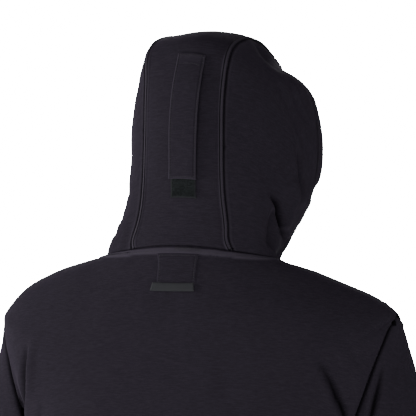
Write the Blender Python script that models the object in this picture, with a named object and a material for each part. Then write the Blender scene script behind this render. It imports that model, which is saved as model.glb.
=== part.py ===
"""A zip-up hoodie, worn with its hood up and its zip closed, with no wearer in it.

Every cloth piece is a closed wall, laid over one of three smooth surfaces: the torso's rings, the
hood's rings, and a sleeve's rings. Metres, +Z up, the front faces -Y, and the wearer's left is +X.
The origin lies between the two points where the neck seam meets the shoulder seams.
"""

import math
from collections import namedtuple

import bmesh
import bpy
import numpy as np
from mathutils import Matrix, Vector

# Driving sizes, in metres
CLOTH = 0.0022
HEM_LAYERS = 2
SEAM_GAP = 0.0003
TAPE_THICKNESS = 0.0010
RIB_THICKNESS = 0.0026
FRONT_EDGE_FROM_CENTRE = 0.0055
BACK_NOTCH_DEGREES = 28.5
FRONT_NOTCH_DEGREES = 31.0
NOTCH_ROUNDNESS = 0.60
FACE_HEM = 0.022

# How finely each surface is divided
BACK_HALF_COLUMNS = 10
FRONT_COLUMNS = 10
SLEEVE_COLUMNS = 20
STRIP_HALF_COLUMNS = 4

# One ring of the torso or hood, seen from its side, back and front points. "place" is the length
# along the centre back, "squareness" 2 is an ellipse and more is squarer, "side_rise" is how
# steeply the ring passes its side point (1 is even), and "chin" is how far it is drawn in halfway
# between its side and front points.
Ring = namedtuple(
    "Ring",
    "place half_width side_y left_z right_z back_y back_z front_y front_z"
    " square_left square_right side_rise chin",
)
NECK_RING = Ring(
    0.000, 0.108, 0.028, 0.000, 0.000, 0.096, 0.020, -0.062, -0.075, 2.00, 2.00, 0.55, 0.06
)
TORSO_RINGS = (
    NECK_RING,
    Ring(0.050, 0.153, 0.020, -0.007, -0.012, 0.105, -0.024, -0.078, -0.098, 2.1, 2.1, 0.55, 0.03),
    Ring(0.100, 0.2005, 0.012, -0.025, -0.032, 0.114, -0.066, -0.095, -0.122, 2.2, 2.2, 0.55, 0.0),
    Ring(0.155, 0.244, 0.006, -0.061, -0.060, 0.121, -0.112, -0.110, -0.150, 2.3, 2.3, 0.65, 0.0),
    Ring(0.210, 0.241, 0.004, -0.118, -0.118, 0.126, -0.156, -0.122, -0.182, 2.4, 2.4, 0.90, 0.0),
    Ring(0.280, 0.222, 0.002, -0.190, -0.190, 0.130, -0.215, -0.133, -0.230, 2.4, 2.4, 1.00, 0.0),
    Ring(0.370, 0.192, 0.000, -0.282, -0.282, 0.131, -0.293, -0.140, -0.295, 2.4, 2.4, 1.00, 0.0),
    Ring(0.450, 0.186, 0.000, -0.360, -0.360, 0.128, -0.366, -0.138, -0.365, 2.3, 2.3, 1.00, 0.0),
    Ring(0.560, 0.182, 0.000, -0.465, -0.465, 0.122, -0.468, -0.130, -0.470, 2.3, 2.3, 1.00, 0.0),
    Ring(0.660, 0.184, 0.000, -0.560, -0.560, 0.125, -0.562, -0.128, -0.564, 2.3, 2.3, 1.00, 0.0),
    Ring(0.705, 0.178, 0.000, -0.606, -0.606, 0.118, -0.606, -0.120, -0.608, 2.3, 2.3, 1.00, 0.0),
    Ring(0.770, 0.170, 0.000, -0.671, -0.671, 0.112, -0.671, -0.112, -0.671, 2.3, 2.3, 1.00, 0.0),
)
SHOULDER_TIP = 0.155
UNDERARM = 0.370
HEM_SEAM = 0.705
HEM_END = 0.770
ABOVE_ARMHOLE = (0.0, 0.025, 0.055, 0.09, 0.122)
ARMHOLE_STEPS = 10
BELOW_ARMHOLE = (0.415, 0.46, 0.51, 0.56, 0.61, 0.65, 0.685, HEM_SEAM)
HEM_BAND_ROWS = (HEM_SEAM, 0.727, 0.749, HEM_END)

# The hood's rings start on the neck seam and tilt up and over to the face opening.
HOOD_RINGS = (
    NECK_RING,
    Ring(0.050, 0.099, 0.020, 0.016, 0.016, 0.095, 0.068, -0.066, -0.070, 2.2, 2.1, 0.80, 0.10),
    Ring(0.100, 0.096, 0.008, 0.034, 0.034, 0.095, 0.118, -0.070, -0.065, 2.4, 2.3, 1.00, 0.13),
    Ring(0.150, 0.097, -0.006, 0.052, 0.052, 0.093, 0.168, -0.073, -0.060, 2.6, 2.4, 1.00, 0.14),
    Ring(0.200, 0.103, -0.019, 0.070, 0.070, 0.087, 0.217, -0.076, -0.054, 2.7, 2.4, 1.00, 0.14),
    Ring(0.250, 0.106, -0.034, 0.082, 0.082, 0.069, 0.260, -0.079, -0.048, 2.7, 2.4, 1.00, 0.15),
    Ring(0.300, 0.107, -0.050, 0.090, 0.090, 0.025, 0.2745, -0.081, -0.043, 2.7, 2.5, 1.00, 0.15),
    Ring(0.350, 0.107, -0.067, 0.095, 0.095, -0.025, 0.2745, -0.083, -0.039, 2.6, 2.6, 1.00, 0.16),
    Ring(0.395, 0.106, -0.082, 0.098, 0.098, -0.069, 0.2665, -0.084, -0.035, 2.5, 2.5, 1.00, 0.16),
    Ring(0.430, 0.105, -0.093, 0.100, 0.100, -0.103, 0.255, -0.085, -0.032, 2.4, 2.3, 1.00, 0.16),
)
HOOD_END = 0.430
HOOD_ROWS = (
    0.0, 0.014, 0.030, 0.048, 0.067, 0.087, 0.107, 0.127, 0.147, 0.167, 0.187, 0.207, 0.227,
    0.247, 0.267, 0.287, 0.307, 0.327, 0.347, 0.367, 0.388, HOOD_END - FACE_HEM, 0.419, HOOD_END,
)
STRIP_HALF_WIDTHS = ((0.0, 0.0623), (0.06, 0.0535), (0.14, 0.0515), (0.30, 0.051), (0.43, 0.050))

# The hood turns towards the wearer's right and leans with the head inside it.
HoodTurn = namedtuple("HoodTurn", "height degrees shift_x shift_y")
HOOD_TURNS = (
    HoodTurn(-0.080, 0.0, 0.000, 0.000),
    HoodTurn(-0.020, 0.0, 0.000, 0.000),
    HoodTurn(0.020, 0.0, -0.001, 0.000),
    HoodTurn(0.050, -2.5, -0.0085, 0.000),
    HoodTurn(0.080, -5.0, -0.013, 0.000),
    HoodTurn(0.150, -8.0, -0.017, 0.000),
    HoodTurn(0.220, -9.0, -0.018, 0.000),
    HoodTurn(0.300, -9.0, -0.014, 0.000),
)
NECK_DRAG_DEGREES = -3.5

# One ring of the left sleeve: its middle, the tilt of its top point, and its two half sizes.
SleeveRing = namedtuple("SleeveRing", "place x y z tilt reach half_depth")
SLEEVE_RINGS = (
    SleeveRing(0.050, 0.2270, -0.002, -0.1910, 76.1, 0.1020, 0.064),
    SleeveRing(0.110, 0.2385, -0.006, -0.2275, 71.6, 0.0870, 0.068),
    SleeveRing(0.170, 0.2493, -0.012, -0.2660, 64.3, 0.0733, 0.072),
    SleeveRing(0.230, 0.2595, -0.020, -0.3055, 53.8, 0.0626, 0.074),
    SleeveRing(0.290, 0.2710, -0.031, -0.3485, 41.7, 0.0549, 0.074),
    SleeveRing(0.350, 0.2828, -0.046, -0.3925, 27.0, 0.0497, 0.071),
    SleeveRing(0.420, 0.2925, -0.073, -0.4510, 14.0, 0.0465, 0.065),
    SleeveRing(0.500, 0.2985, -0.108, -0.5230, 8.0, 0.0434, 0.057),
    SleeveRing(0.545, 0.3000, -0.130, -0.5640, 5.0, 0.0460, 0.053),
    SleeveRing(0.572, 0.3010, -0.143, -0.5880, 4.0, 0.0375, 0.042),
    SleeveRing(0.635, 0.3010, -0.172, -0.6440, 3.0, 0.0350, 0.038),
)
SLEEVE_SEAM = 0.572
SLEEVE_END = 0.635
SLEEVE_ROWS = (
    0.0, 0.022, 0.05, 0.08, 0.11, 0.14, 0.17, 0.20, 0.23, 0.26, 0.29, 0.32, 0.35, 0.385, 0.42,
    0.46, 0.50, 0.525, 0.545, 0.560, SLEEVE_SEAM,
)
CUFF_ROWS = (SLEEVE_SEAM, 0.593, 0.614, SLEEVE_END)

# The largest folds. A fold runs between two points of a surface, given as degrees and place on the
# torso and hood (degrees from the centre back, the wearer's left positive), and as degrees from
# the top towards the back and place on a sleeve. A negative height is a trough.
Fold = namedtuple("Fold", "surface degrees_a place_a degrees_b place_b height width")
FOLDS = (
    Fold("torso", -53.0, 0.205, -47.0, 0.310, -0.0055, 0.018),
    Fold("torso", -62.0, 0.215, -60.0, 0.290, 0.0040, 0.018),
    Fold("torso", 60.0, 0.215, 67.0, 0.340, -0.0045, 0.018),
    Fold("torso", 50.0, 0.190, 55.0, 0.330, 0.0035, 0.020),
    Fold("torso", 120.0, 0.215, 112.0, 0.340, -0.0050, 0.018),
    Fold("torso", 134.0, 0.200, 126.0, 0.330, 0.0040, 0.020),
    Fold("torso", -119.0, 0.220, -111.0, 0.350, -0.0050, 0.018),
    Fold("torso", -133.0, 0.205, -123.0, 0.340, 0.0040, 0.020),
    Fold("torso", 70.0, 0.430, 20.0, 0.475, 0.0045, 0.020),
    Fold("torso", -75.0, 0.440, -25.0, 0.500, 0.0045, 0.021),
    Fold("torso", 60.0, 0.560, 5.0, 0.600, 0.0045, 0.019),
    Fold("torso", -62.0, 0.545, -15.0, 0.590, 0.0040, 0.019),
    Fold("torso", 115.0, 0.470, 160.0, 0.520, 0.0045, 0.020),
    Fold("torso", -112.0, 0.450, -158.0, 0.500, 0.0045, 0.021),
    Fold("torso", 100.0, 0.645, 70.0, 0.665, 0.0055, 0.017),
    Fold("torso", -105.0, 0.650, -70.0, 0.660, 0.0055, 0.018),
    Fold("torso", 35.0, 0.664, -30.0, 0.655, 0.0050, 0.017),
    Fold("torso", 165.0, 0.658, 128.0, 0.650, 0.0050, 0.017),
    Fold("torso", -165.0, 0.652, -130.0, 0.658, 0.0050, 0.017),
    Fold("hood", 28.0, 0.190, 28.5, 0.400, 0.0065, 0.017),
    Fold("hood", -28.0, 0.200, -29.0, 0.390, 0.0050, 0.017),
    Fold("hood", -36.0, 0.300, -32.0, 0.470, -0.0150, 0.021),
    Fold("hood", -100.5, 0.290, -100.5, 0.480, -0.0095, 0.036),
    Fold("hood", -84.0, 0.030, -76.0, 0.150, -0.0100, 0.014),
    Fold("hood", -97.0, 0.110, -80.0, 0.215, 0.0060, 0.018),
    Fold("hood", -108.0, 0.130, -100.0, 0.330, 0.0040, 0.014),
    Fold("hood", -117.0, 0.120, -109.0, 0.330, -0.0045, 0.014),
    Fold("hood", 88.0, 0.050, 80.0, 0.140, -0.0050, 0.017),
    Fold("hood", 108.0, 0.130, 100.0, 0.330, 0.0040, 0.015),
    Fold("sleeve_right", 46.0, 0.080, 62.0, 0.200, -0.0045, 0.015),
    Fold("sleeve_right", 68.0, 0.070, 86.0, 0.200, 0.0040, 0.017),
    Fold("sleeve_left", 48.0, 0.080, 70.0, 0.210, -0.0045, 0.015),
    Fold("sleeve_left", 70.0, 0.080, 92.0, 0.200, 0.0040, 0.017),
    Fold("sleeve_right", -45.0, 0.080, -70.0, 0.210, -0.0045, 0.016),
    Fold("sleeve_left", -42.0, 0.080, -66.0, 0.200, -0.0045, 0.016),
    Fold("sleeve_right", 150.0, 0.330, 235.0, 0.350, -0.0060, 0.015),
    Fold("sleeve_right", 140.0, 0.375, 225.0, 0.385, 0.0050, 0.015),
    Fold("sleeve_right", 205.0, 0.290, 290.0, 0.320, -0.0050, 0.015),
    Fold("sleeve_left", 145.0, 0.340, 232.0, 0.355, -0.0060, 0.015),
    Fold("sleeve_left", 150.0, 0.385, 238.0, 0.380, 0.0050, 0.015),
    Fold("sleeve_left", 200.0, 0.295, 285.0, 0.315, -0.0050, 0.015),
    Fold("sleeve_right", 20.0, 0.528, 130.0, 0.516, 0.0040, 0.013),
    Fold("sleeve_right", 190.0, 0.513, 300.0, 0.530, 0.0040, 0.013),
    Fold("sleeve_left", 10.0, 0.518, 120.0, 0.530, 0.0040, 0.013),
    Fold("sleeve_left", 180.0, 0.530, 295.0, 0.516, 0.0040, 0.013),
)

# What is sewn on. Offsets are to the wearer's left of the panel's centre line.
STRAP_WIDTH = 0.033
STRAP_THICKNESS = 0.0030
STRAP_TOP = 0.229
STRAP_BOTTOM = 0.080
STRAP_TOP_OFFSET = -0.0105
STRAP_BOTTOM_OFFSET = -0.0050
STRAP_LIFT = 0.0035
STRAP_ROWS = 10
PATCH_WIDTH = 0.031
PATCH_BOTTOM = 0.058
PATCH_TOP = 0.096
PATCH_THICKNESS = 0.0016
ON_CLOTH = 0.0007
TAB_WIDTH = 0.047
TAB_TOP = 0.010
TAB_BOTTOM = 0.053
TAB_OFFSET = 0.0025
TAB_THICKNESS = 0.0012
LABEL_WIDTH = 0.052
LABEL_TOP = 0.0495
LABEL_BOTTOM = 0.0610
LABEL_OFFSET = 0.0055
LABEL_THICKNESS = 0.0014

ACROSS_LAID_PIECE = np.linspace(-0.5, 0.5, 7)

# The zip
TAPE_INNER_EDGE = 0.0028
TAPE_OUTER_EDGE = 0.0145
UNDER_CLOTH = 0.0004
CHAIN_HALF_WIDTH = 0.0025
CHAIN_THICKNESS = 0.0022
SLIDER_BELOW_TAPE_END = 0.0015
SLIDER_LENGTH = 0.0120
SLIDER_HALF_WIDTH = 0.0046
SLIDER_POST_HALF_WIDTH = 0.0014
SLIDER_PLATE = 0.0012
SLIDER_GAP = 0.0026
BRIDGE_HALF_WIDTH = 0.0010
BRIDGE_HEIGHT = 0.0034
BRIDGE_TOP = 0.0009
BRIDGE_INNER_FACE = 0.0014
BRIDGE_OUTER_FACE = 0.0024
BAR_HEIGHT = 0.0012
BAR_HALF_WIDTH = 0.0007
WINDOW_HALF_WIDTH = 0.0015
WINDOW_END = 0.0046
PULL_LENGTH = 0.030
PULL_HALF_WIDTH = 0.0034
PULL_NECK_HALF_WIDTH = 0.0027
PULL_SHOULDER = 0.0056
PULL_CORNER = 0.0005
PULL_THICKNESS = 0.0014

# Colours, as linear values read off the photograph's mean greys
FLEECE = (0.0135, 0.0120, 0.0165)
RIB = (0.0115, 0.0105, 0.0140)
HOOK_PATCH = (0.0100, 0.0125, 0.0120)
LABEL_GREY = (0.0340, 0.0360, 0.0400)
TAPE_BLACK = (0.0080, 0.0080, 0.0090)
GUNMETAL = (0.0600, 0.0600, 0.0650)


def clear_scene():
    for obj in list(bpy.data.objects):
        bpy.data.objects.remove(obj, do_unlink=True)


def new_collection(name):
    collection = bpy.data.collections.new(name)
    bpy.context.scene.collection.children.link(collection)
    return collection


def finish(name, colour, roughness, metallic=0.0):
    material = bpy.data.materials.new(name)
    material.use_nodes = True
    shader = material.node_tree.nodes["Principled BSDF"]
    shader.inputs["Base Color"].default_value = (*colour, 1.0)
    shader.inputs["Roughness"].default_value = roughness
    shader.inputs["Metallic"].default_value = metallic
    return material


def through(knots, values, place):
    """A smooth curve through values at their knots, read at one place."""
    knots = np.asarray(knots, float)
    values = np.asarray(values, float)
    last = len(knots) - 1
    lower = int(np.clip(np.searchsorted(knots, place, side="right") - 1, 0, last - 1))

    def slope(index):
        if index == 0:
            return (values[1] - values[0]) / (knots[1] - knots[0])
        if index == last:
            return (values[last] - values[last - 1]) / (knots[last] - knots[last - 1])
        before = knots[index] - knots[index - 1]
        after = knots[index + 1] - knots[index]
        rise_before = (values[index] - values[index - 1]) / before
        rise_after = (values[index + 1] - values[index]) / after
        return (rise_before * after + rise_after * before) / (before + after)

    span = knots[lower + 1] - knots[lower]
    t = (place - knots[lower]) / span
    start = values[lower] * (2 * t**3 - 3 * t**2 + 1) + slope(lower) * span * (t**3 - 2 * t**2 + t)
    end = values[lower + 1] * (3 * t**2 - 2 * t**3) + slope(lower + 1) * span * (t**3 - t**2)
    return start + end


def unit(vectors):
    length = np.linalg.norm(vectors, axis=-1, keepdims=True)
    return vectors / np.maximum(length, 1e-12)


def ring_points(rings, angles, place):
    """Points of the ring at this place. Angles are radians from the centre back, left positive."""
    row = Ring(*through([ring.place for ring in rings], rings, place))
    sine = np.sin(angles)
    cosine = np.cos(angles)
    power = np.where(sine >= 0, row.square_left, row.square_right)
    reach = (np.abs(sine) ** power + np.abs(cosine) ** power) ** (-1.0 / power)
    along = cosine * reach
    drawn = 1.0 - row.chin * np.where(cosine < 0, np.sin(2 * angles) ** 2, 0.0)
    across = row.half_width * sine * reach * drawn
    side_z = np.where(sine >= 0, row.left_z, row.right_z)

    def from_front_to_back(back, side, front, rise):
        even = (back - front) / 2
        middle = (back + front) / 2 - side
        return side + along * even * rise + along**2 * middle + along**3 * even * (1 - rise)

    y = from_front_to_back(row.back_y, row.side_y, row.front_y, 1.0)
    z = from_front_to_back(row.back_z, side_z, row.front_z, row.side_rise)
    return np.stack([across, y, z], axis=-1)


def torso_surface(angles, place):
    return ring_points(TORSO_RINGS, angles, place)


def hood_surface(angles, place):
    """The hood's ring, turned and shifted with height as the head inside it turns."""
    points = ring_points(HOOD_RINGS, angles, place)
    turned = []
    for point in points:
        row = HoodTurn(*through([turn.height for turn in HOOD_TURNS], HOOD_TURNS, point[2]))
        angle = math.radians(row.degrees)
        x = point[0] * math.cos(angle) - point[1] * math.sin(angle) + row.shift_x
        y = point[0] * math.sin(angle) + point[1] * math.cos(angle) + row.shift_y
        turned.append((x, y, point[2]))
    return np.array(turned)


def armhole_edge(angle):
    """Where the armhole seam runs, for an angle from the shoulder tip towards the back."""
    sine = math.sin(angle)
    notch = BACK_NOTCH_DEGREES if sine >= 0 else FRONT_NOTCH_DEGREES
    towards_back = math.copysign(notch * abs(sine) ** NOTCH_ROUNDNESS, sine)
    turned = math.acos(math.cos(angle))
    share = ((1 - math.cos(angle)) / 2 + turned / math.pi) / 2
    return math.radians(90.0 - towards_back), SHOULDER_TIP + (UNDERARM - SHOULDER_TIP) * share


def sleeve_surface(angles, place):
    """The left sleeve. Angles are radians from the top of the arm towards its back."""
    armhole = []
    for angle in angles:
        around, along = armhole_edge(angle)
        armhole.append(torso_surface(np.array([around]), along)[0])
    rows = [np.array(armhole)]
    middles = np.array([(ring.x, ring.y, ring.z) for ring in SLEEVE_RINGS])
    for index, ring in enumerate(SLEEVE_RINGS):
        before = middles[max(index - 1, 0)]
        after = middles[min(index + 1, len(middles) - 1)]
        along = unit(after - before)
        tilt = math.radians(ring.tilt)
        top = np.array([math.cos(tilt), 0.0, math.sin(tilt)])
        back = unit(np.array([0.0, 1.0, 0.0]) - along[1] * along)
        point = middles[index] + np.outer(np.cos(angles), top) * ring.reach
        rows.append(point + np.outer(np.sin(angles), back) * ring.half_depth)
    knots = [0.0] + [ring.place for ring in SLEEVE_RINGS]
    return through(knots, rows, place)


def surface_normals(surface, angles, place, towards_end):
    """Outward unit vectors, from small steps over the surface."""
    step = 0.0005
    ahead = place + step if towards_end else place
    behind = place if towards_end else place - step
    around = surface(angles + step, place) - surface(angles - step, place)
    along = surface(angles, ahead) - surface(angles, behind)
    return unit(np.cross(around, along))


def fold_lines(surface_name, surface):
    """Each fold of a surface, as points that follow it, with its height and width."""
    lines = []
    for fold in FOLDS:
        if fold.surface != surface_name:
            continue
        points = []
        for share in np.linspace(0.0, 1.0, 9):
            degrees = fold.degrees_a + (fold.degrees_b - fold.degrees_a) * share
            place = fold.place_a + (fold.place_b - fold.place_a) * share
            points.append(surface(np.array([math.radians(degrees)]), place)[0])
        lines.append((np.array(points), fold.height, fold.width))
    return lines


def fold_heights(lines, points):
    """How far the folds lift each point. A fold fades out over its last fifth at both ends."""
    total = np.zeros(points.shape[:-1])
    for line, height, width in lines:
        nearest = np.full(points.shape[:-1], np.inf)
        share = np.zeros(points.shape[:-1])
        for index in range(len(line) - 1):
            start = line[index]
            run = line[index + 1] - start
            t = np.clip(((points - start) @ run) / (run @ run), 0.0, 1.0)
            distance = np.linalg.norm(points - start - t[..., None] * run, axis=-1)
            closer = distance < nearest
            nearest = np.where(closer, distance, nearest)
            share = np.where(closer, (index + t) / (len(line) - 1), share)
        ends = np.clip(np.minimum(share, 1 - share) / 0.2, 0.0, 1.0)
        fade = ends * ends * (3 - 2 * ends)
        total += height * (0.25 + 0.75 * fade) * np.exp(-((nearest / width) ** 2))
    return total


class Cloth:
    """A panel: its outer points in rows and columns, and the way into the cloth at each."""

    def __init__(self, outer, normals, thickness):
        self.outer = outer
        self.normals = normals
        self.inner = outer - normals * np.asarray(thickness)[..., None]

    def at(self, row, column):
        """Outer point and normal between the grid's lines."""
        rows, columns = self.outer.shape[:2]
        i = int(np.clip(math.floor(row), 0, rows - 2))
        j = int(np.clip(math.floor(column), 0, columns - 2))
        a = row - i
        b = column - j
        found = []
        for grid in (self.outer, self.normals):
            low = grid[i, j] * (1 - b) + grid[i, j + 1] * b
            high = grid[i + 1, j] * (1 - b) + grid[i + 1, j + 1] * b
            found.append(low * (1 - a) + high * a)
        return found[0], unit(found[1])


def drawn_in(grid, round_piece):
    """The same points with the sewn edges drawn in by half a seam gap."""
    points = grid.copy()
    half = SEAM_GAP / 2
    points[0] += half * unit(grid[1] - grid[0])
    points[-1] += half * unit(grid[-2] - grid[-1])
    if not round_piece:
        points[:, 0] += half * unit(grid[:, 1] - grid[:, 0])
        points[:, -1] += half * unit(grid[:, -2] - grid[:, -1])
    return points


def closed_wall(name, outer, inner, material, collection, round_piece=False):
    """A grid laid on the outer points, extruded and moved to the inner points."""
    rows, columns = outer.shape[:2]
    mesh = bmesh.new()
    bmesh.ops.create_grid(mesh, x_segments=columns - 1, y_segments=rows - 1, size=0.5)
    number = mesh.verts.layers.int.new("grid_number")
    for vert in mesh.verts:
        column = round((vert.co.x + 0.5) * (columns - 1))
        row = round((vert.co.y + 0.5) * (rows - 1))
        vert[number] = row * columns + column
        vert.co = outer[row, column]
    if round_piece:
        bmesh.ops.remove_doubles(mesh, verts=mesh.verts, dist=1e-6)
    made = bmesh.ops.extrude_face_region(mesh, geom=mesh.faces[:])
    for element in made["geom"]:
        if isinstance(element, bmesh.types.BMVert):
            row, column = divmod(element[number], columns)
            element.co = inner[row, column]
    bmesh.ops.recalc_face_normals(mesh, faces=mesh.faces)
    if mesh.calc_volume(signed=True) < 0:
        bmesh.ops.reverse_faces(mesh, faces=mesh.faces)
    return mesh_object(name, mesh, material, collection)


def mesh_object(name, mesh, material, collection):
    data = bpy.data.meshes.new(name)
    mesh.to_mesh(data)
    mesh.free()
    data.materials.append(material)
    for polygon in data.polygons:
        polygon.use_smooth = True
    obj = bpy.data.objects.new(name, data)
    collection.objects.link(obj)
    return obj


def mirrored(points):
    return points * np.array([-1.0, 1.0, 1.0])


def sleeve_normals(angles, place):
    return -surface_normals(sleeve_surface, angles, place, place < SLEEVE_END)


def hood_normals(angles, place):
    return -surface_normals(hood_surface, angles, place, place < HOOD_END)


def torso_normals(angles, place):
    return surface_normals(torso_surface, angles, place, place < HEM_END)


def armhole_normals(angles):
    """At the armhole both panels share the direction halfway between their own normals."""
    torso = []
    for angle in angles:
        around, place = armhole_edge(angle)
        torso.append(torso_normals(np.array([around]), place)[0])
    return unit(sleeve_normals(angles, 0.0) + np.array(torso))


def neck_normals(angles):
    return unit(torso_normals(angles, 0.0) + hood_normals(angles, 0.0))


def dragged(angles, place):
    """The neck seam is pulled round with the hood, less and less towards the shoulder tip."""
    share = max(0.0, 1.0 - place / SHOULDER_TIP)
    return angles + math.radians(NECK_DRAG_DEGREES) * share * np.clip(np.cos(angles), 0.0, 1.0)


def torso_rows():
    """Places of the torso's rows, with each armhole row's angle round the armhole, or None."""
    rows = [(place, None) for place in ABOVE_ARMHOLE]
    for step in range(ARMHOLE_STEPS + 1):
        angle = math.pi * step / ARMHOLE_STEPS
        rows.append((armhole_edge(angle)[1], angle))
    rows += [(place, None) for place in BELOW_ARMHOLE]
    return rows


def front_edge_angle(place, rings):
    """The angle of the front edge, a fixed distance from the centre front."""
    row = Ring(*through([ring.place for ring in rings], rings, place))
    return math.pi - math.asin(FRONT_EDGE_FROM_CENTRE / row.half_width)


def torso_grid(columns, ends):
    """Points and normals of a torso panel. Each end is at the "side" or at the "zip"."""
    lines = fold_lines("torso", torso_surface)
    across = np.linspace(0.0, 1.0, columns + 1)
    towards_ends = (np.clip(1 - 2 * across, 0, 1) ** 2, np.clip(2 * across - 1, 0, 1) ** 2)
    outer = []
    normals = []
    for place, round_armhole in torso_rows():
        full = []
        drawn_back = []
        for end, sign, towards_back in ends:
            side = math.radians(90.0)
            full.append(sign * (front_edge_angle(place, TORSO_RINGS) if end == "zip" else side))
            if end == "zip" or round_armhole is None:
                drawn_back.append(0.0)
            else:
                drawn_back.append(sign * (armhole_edge(towards_back * round_armhole)[0] - side))
        angles = full[0] + (full[1] - full[0]) * across
        angles += drawn_back[0] * towards_ends[0] + drawn_back[1] * towards_ends[1]
        angles = dragged(angles, place)
        row_normals = neck_normals(angles) if place == 0.0 else torso_normals(angles, place)
        points = torso_surface(angles, place)
        raised = points + row_normals * fold_heights(lines, points[None])[0][:, None]
        for column, (end, sign, towards_back) in zip((0, columns), ends):
            if end == "zip" or round_armhole is None:
                continue
            shared = armhole_normals(np.array([towards_back * round_armhole]))[0]
            row_normals[column] = shared if sign > 0 else mirrored(shared)
            raised[column] = points[column]
        outer.append(raised)
        normals.append(row_normals)
    return np.array(outer), np.array(normals)


def thickness_like(grid, value):
    return np.full(grid.shape[:2], value)


def build_cloth(name, outer, normals, thickness, material, collection, round_piece=False):
    """A sewn panel: drawn in at its seams, and walled."""
    panel = Cloth(outer, normals, thickness)
    edge_outer = drawn_in(panel.outer, round_piece)
    edge_inner = drawn_in(panel.inner, round_piece)
    closed_wall(name, edge_outer, edge_inner, material, collection, round_piece)
    return panel


def build_torso(material, collection):
    panels = {}
    for name, columns, ends in (
        ("back", 2 * BACK_HALF_COLUMNS, (("side", -1, 1), ("side", 1, 1))),
        ("front_left", FRONT_COLUMNS, (("side", 1, -1), ("zip", 1, 0))),
        ("front_right", FRONT_COLUMNS, (("side", -1, -1), ("zip", -1, 0))),
    ):
        outer, normals = torso_grid(columns, ends)
        thickness = thickness_like(outer, CLOTH)
        panels[name] = build_cloth(name, outer, normals, thickness, material, collection)
    return panels


def build_hem_band(material, collection):
    lines = fold_lines("torso", torso_surface)
    outer = []
    normals = []
    for place in HEM_BAND_ROWS:
        edge = front_edge_angle(place, TORSO_RINGS)
        side = math.radians(90.0)
        front = np.linspace(side, edge, FRONT_COLUMNS + 1)
        back = np.linspace(-side, side, 2 * BACK_HALF_COLUMNS + 1)
        angles = np.concatenate([-front[::-1], back[1:-1], front])
        outer.append(torso_surface(angles, place))
        normals.append(torso_normals(angles, place))
    outer = np.array(outer)
    normals = np.array(normals)
    outer = outer + normals * fold_heights(lines, outer)[..., None]
    return build_cloth(
        "hem_band", outer, normals, thickness_like(outer, RIB_THICKNESS), material, collection
    )


def hood_seam_angle(place, sign):
    """The angle at which the centre strip's edge lies, from the strip's half width."""
    wanted = through([row[0] for row in STRIP_HALF_WIDTHS], [row[1] for row in STRIP_HALF_WIDTHS], place)
    low = 0.0
    high = math.radians(80.0)
    for _ in range(40):
        middle = (low + high) / 2
        across = ring_points(HOOD_RINGS, np.array([sign * middle]), place)[0, 0]
        if abs(across) < wanted:
            low = middle
        else:
            high = middle
    return sign * (low + high) / 2


def hood_grid(angles_of_row):
    lines = fold_lines("hood", hood_surface)
    outer = []
    normals = []
    for place in HOOD_ROWS:
        angles = angles_of_row(place)
        if place == 0.0:
            angles = dragged(angles, place)
        row_normals = neck_normals(angles) if place == 0.0 else hood_normals(angles, place)
        outer.append(hood_surface(angles, place))
        normals.append(row_normals)
    outer = np.array(outer)
    normals = np.array(normals)
    heights = fold_heights(lines, outer)
    return outer + normals * heights[..., None], normals


def hem_thickness(grid):
    """The cloth is turned in and stitched round the face opening, so it is double there."""
    thickness = thickness_like(grid, CLOTH)
    for row, place in enumerate(HOOD_ROWS):
        if place > HOOD_END - FACE_HEM:
            thickness[row] = CLOTH * HEM_LAYERS
    return thickness


def build_hood(material, collection):
    def strip_angles(place):
        right = np.linspace(hood_seam_angle(place, -1), 0.0, STRIP_HALF_COLUMNS + 1)
        left = np.linspace(0.0, hood_seam_angle(place, 1), STRIP_HALF_COLUMNS + 1)
        return np.concatenate([right, left[1:]])

    def side_angles(sign):
        def angles(place):
            seam = hood_seam_angle(place, sign)
            side = sign * math.radians(90.0)
            front = sign * front_edge_angle(place, HOOD_RINGS)
            behind = np.linspace(seam, side, BACK_HALF_COLUMNS - STRIP_HALF_COLUMNS + 1)
            before = np.linspace(side, front, FRONT_COLUMNS + 1)
            return np.concatenate([behind[:-1], before])

        return angles

    outer, normals = hood_grid(strip_angles)
    panels = {
        "hood_centre": build_cloth(
            "hood_centre", outer, normals, hem_thickness(outer), material, collection
        )
    }
    for name, sign in (("hood_side_left", 1), ("hood_side_right", -1)):
        outer, normals = hood_grid(side_angles(sign))
        panels[name] = build_cloth(
            name, outer, normals, hem_thickness(outer), material, collection
        )
    return panels


def build_sleeves(fleece, rib, collection):
    angles = np.linspace(0.0, 2 * math.pi, SLEEVE_COLUMNS + 1)
    for side, sign in (("left", 1), ("right", -1)):
        lines = fold_lines("sleeve_" + side, sleeve_surface)
        for name, rows, thickness, material in (
            ("sleeve_" + side, SLEEVE_ROWS, CLOTH, fleece),
            ("cuff_" + side, CUFF_ROWS, RIB_THICKNESS, rib),
        ):
            outer = []
            normals = []
            for place in rows:
                outer.append(sleeve_surface(angles, place))
                if place == 0.0:
                    normals.append(armhole_normals(angles))
                else:
                    normals.append(sleeve_normals(angles, place))
            outer = np.array(outer)
            normals = np.array(normals)
            heights = fold_heights(lines, outer)
            if rows[0] == 0.0:
                heights[0] = 0.0
            outer = outer + normals * heights[..., None]
            outer[:, -1] = outer[:, 0]
            normals[:, -1] = normals[:, 0]
            if sign < 0:
                outer = mirrored(outer)
                normals = mirrored(normals)
            build_cloth(name, outer, normals, thickness_like(outer, thickness), material, collection, True)


def grid_lines(start, end):
    """A span of a panel's grid: its two ends and every line between them."""
    return [start] + list(range(math.floor(start) + 1, math.ceil(end))) + [end]


def row_of(places, place):
    return float(np.interp(place, places, range(len(places))))


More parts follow.
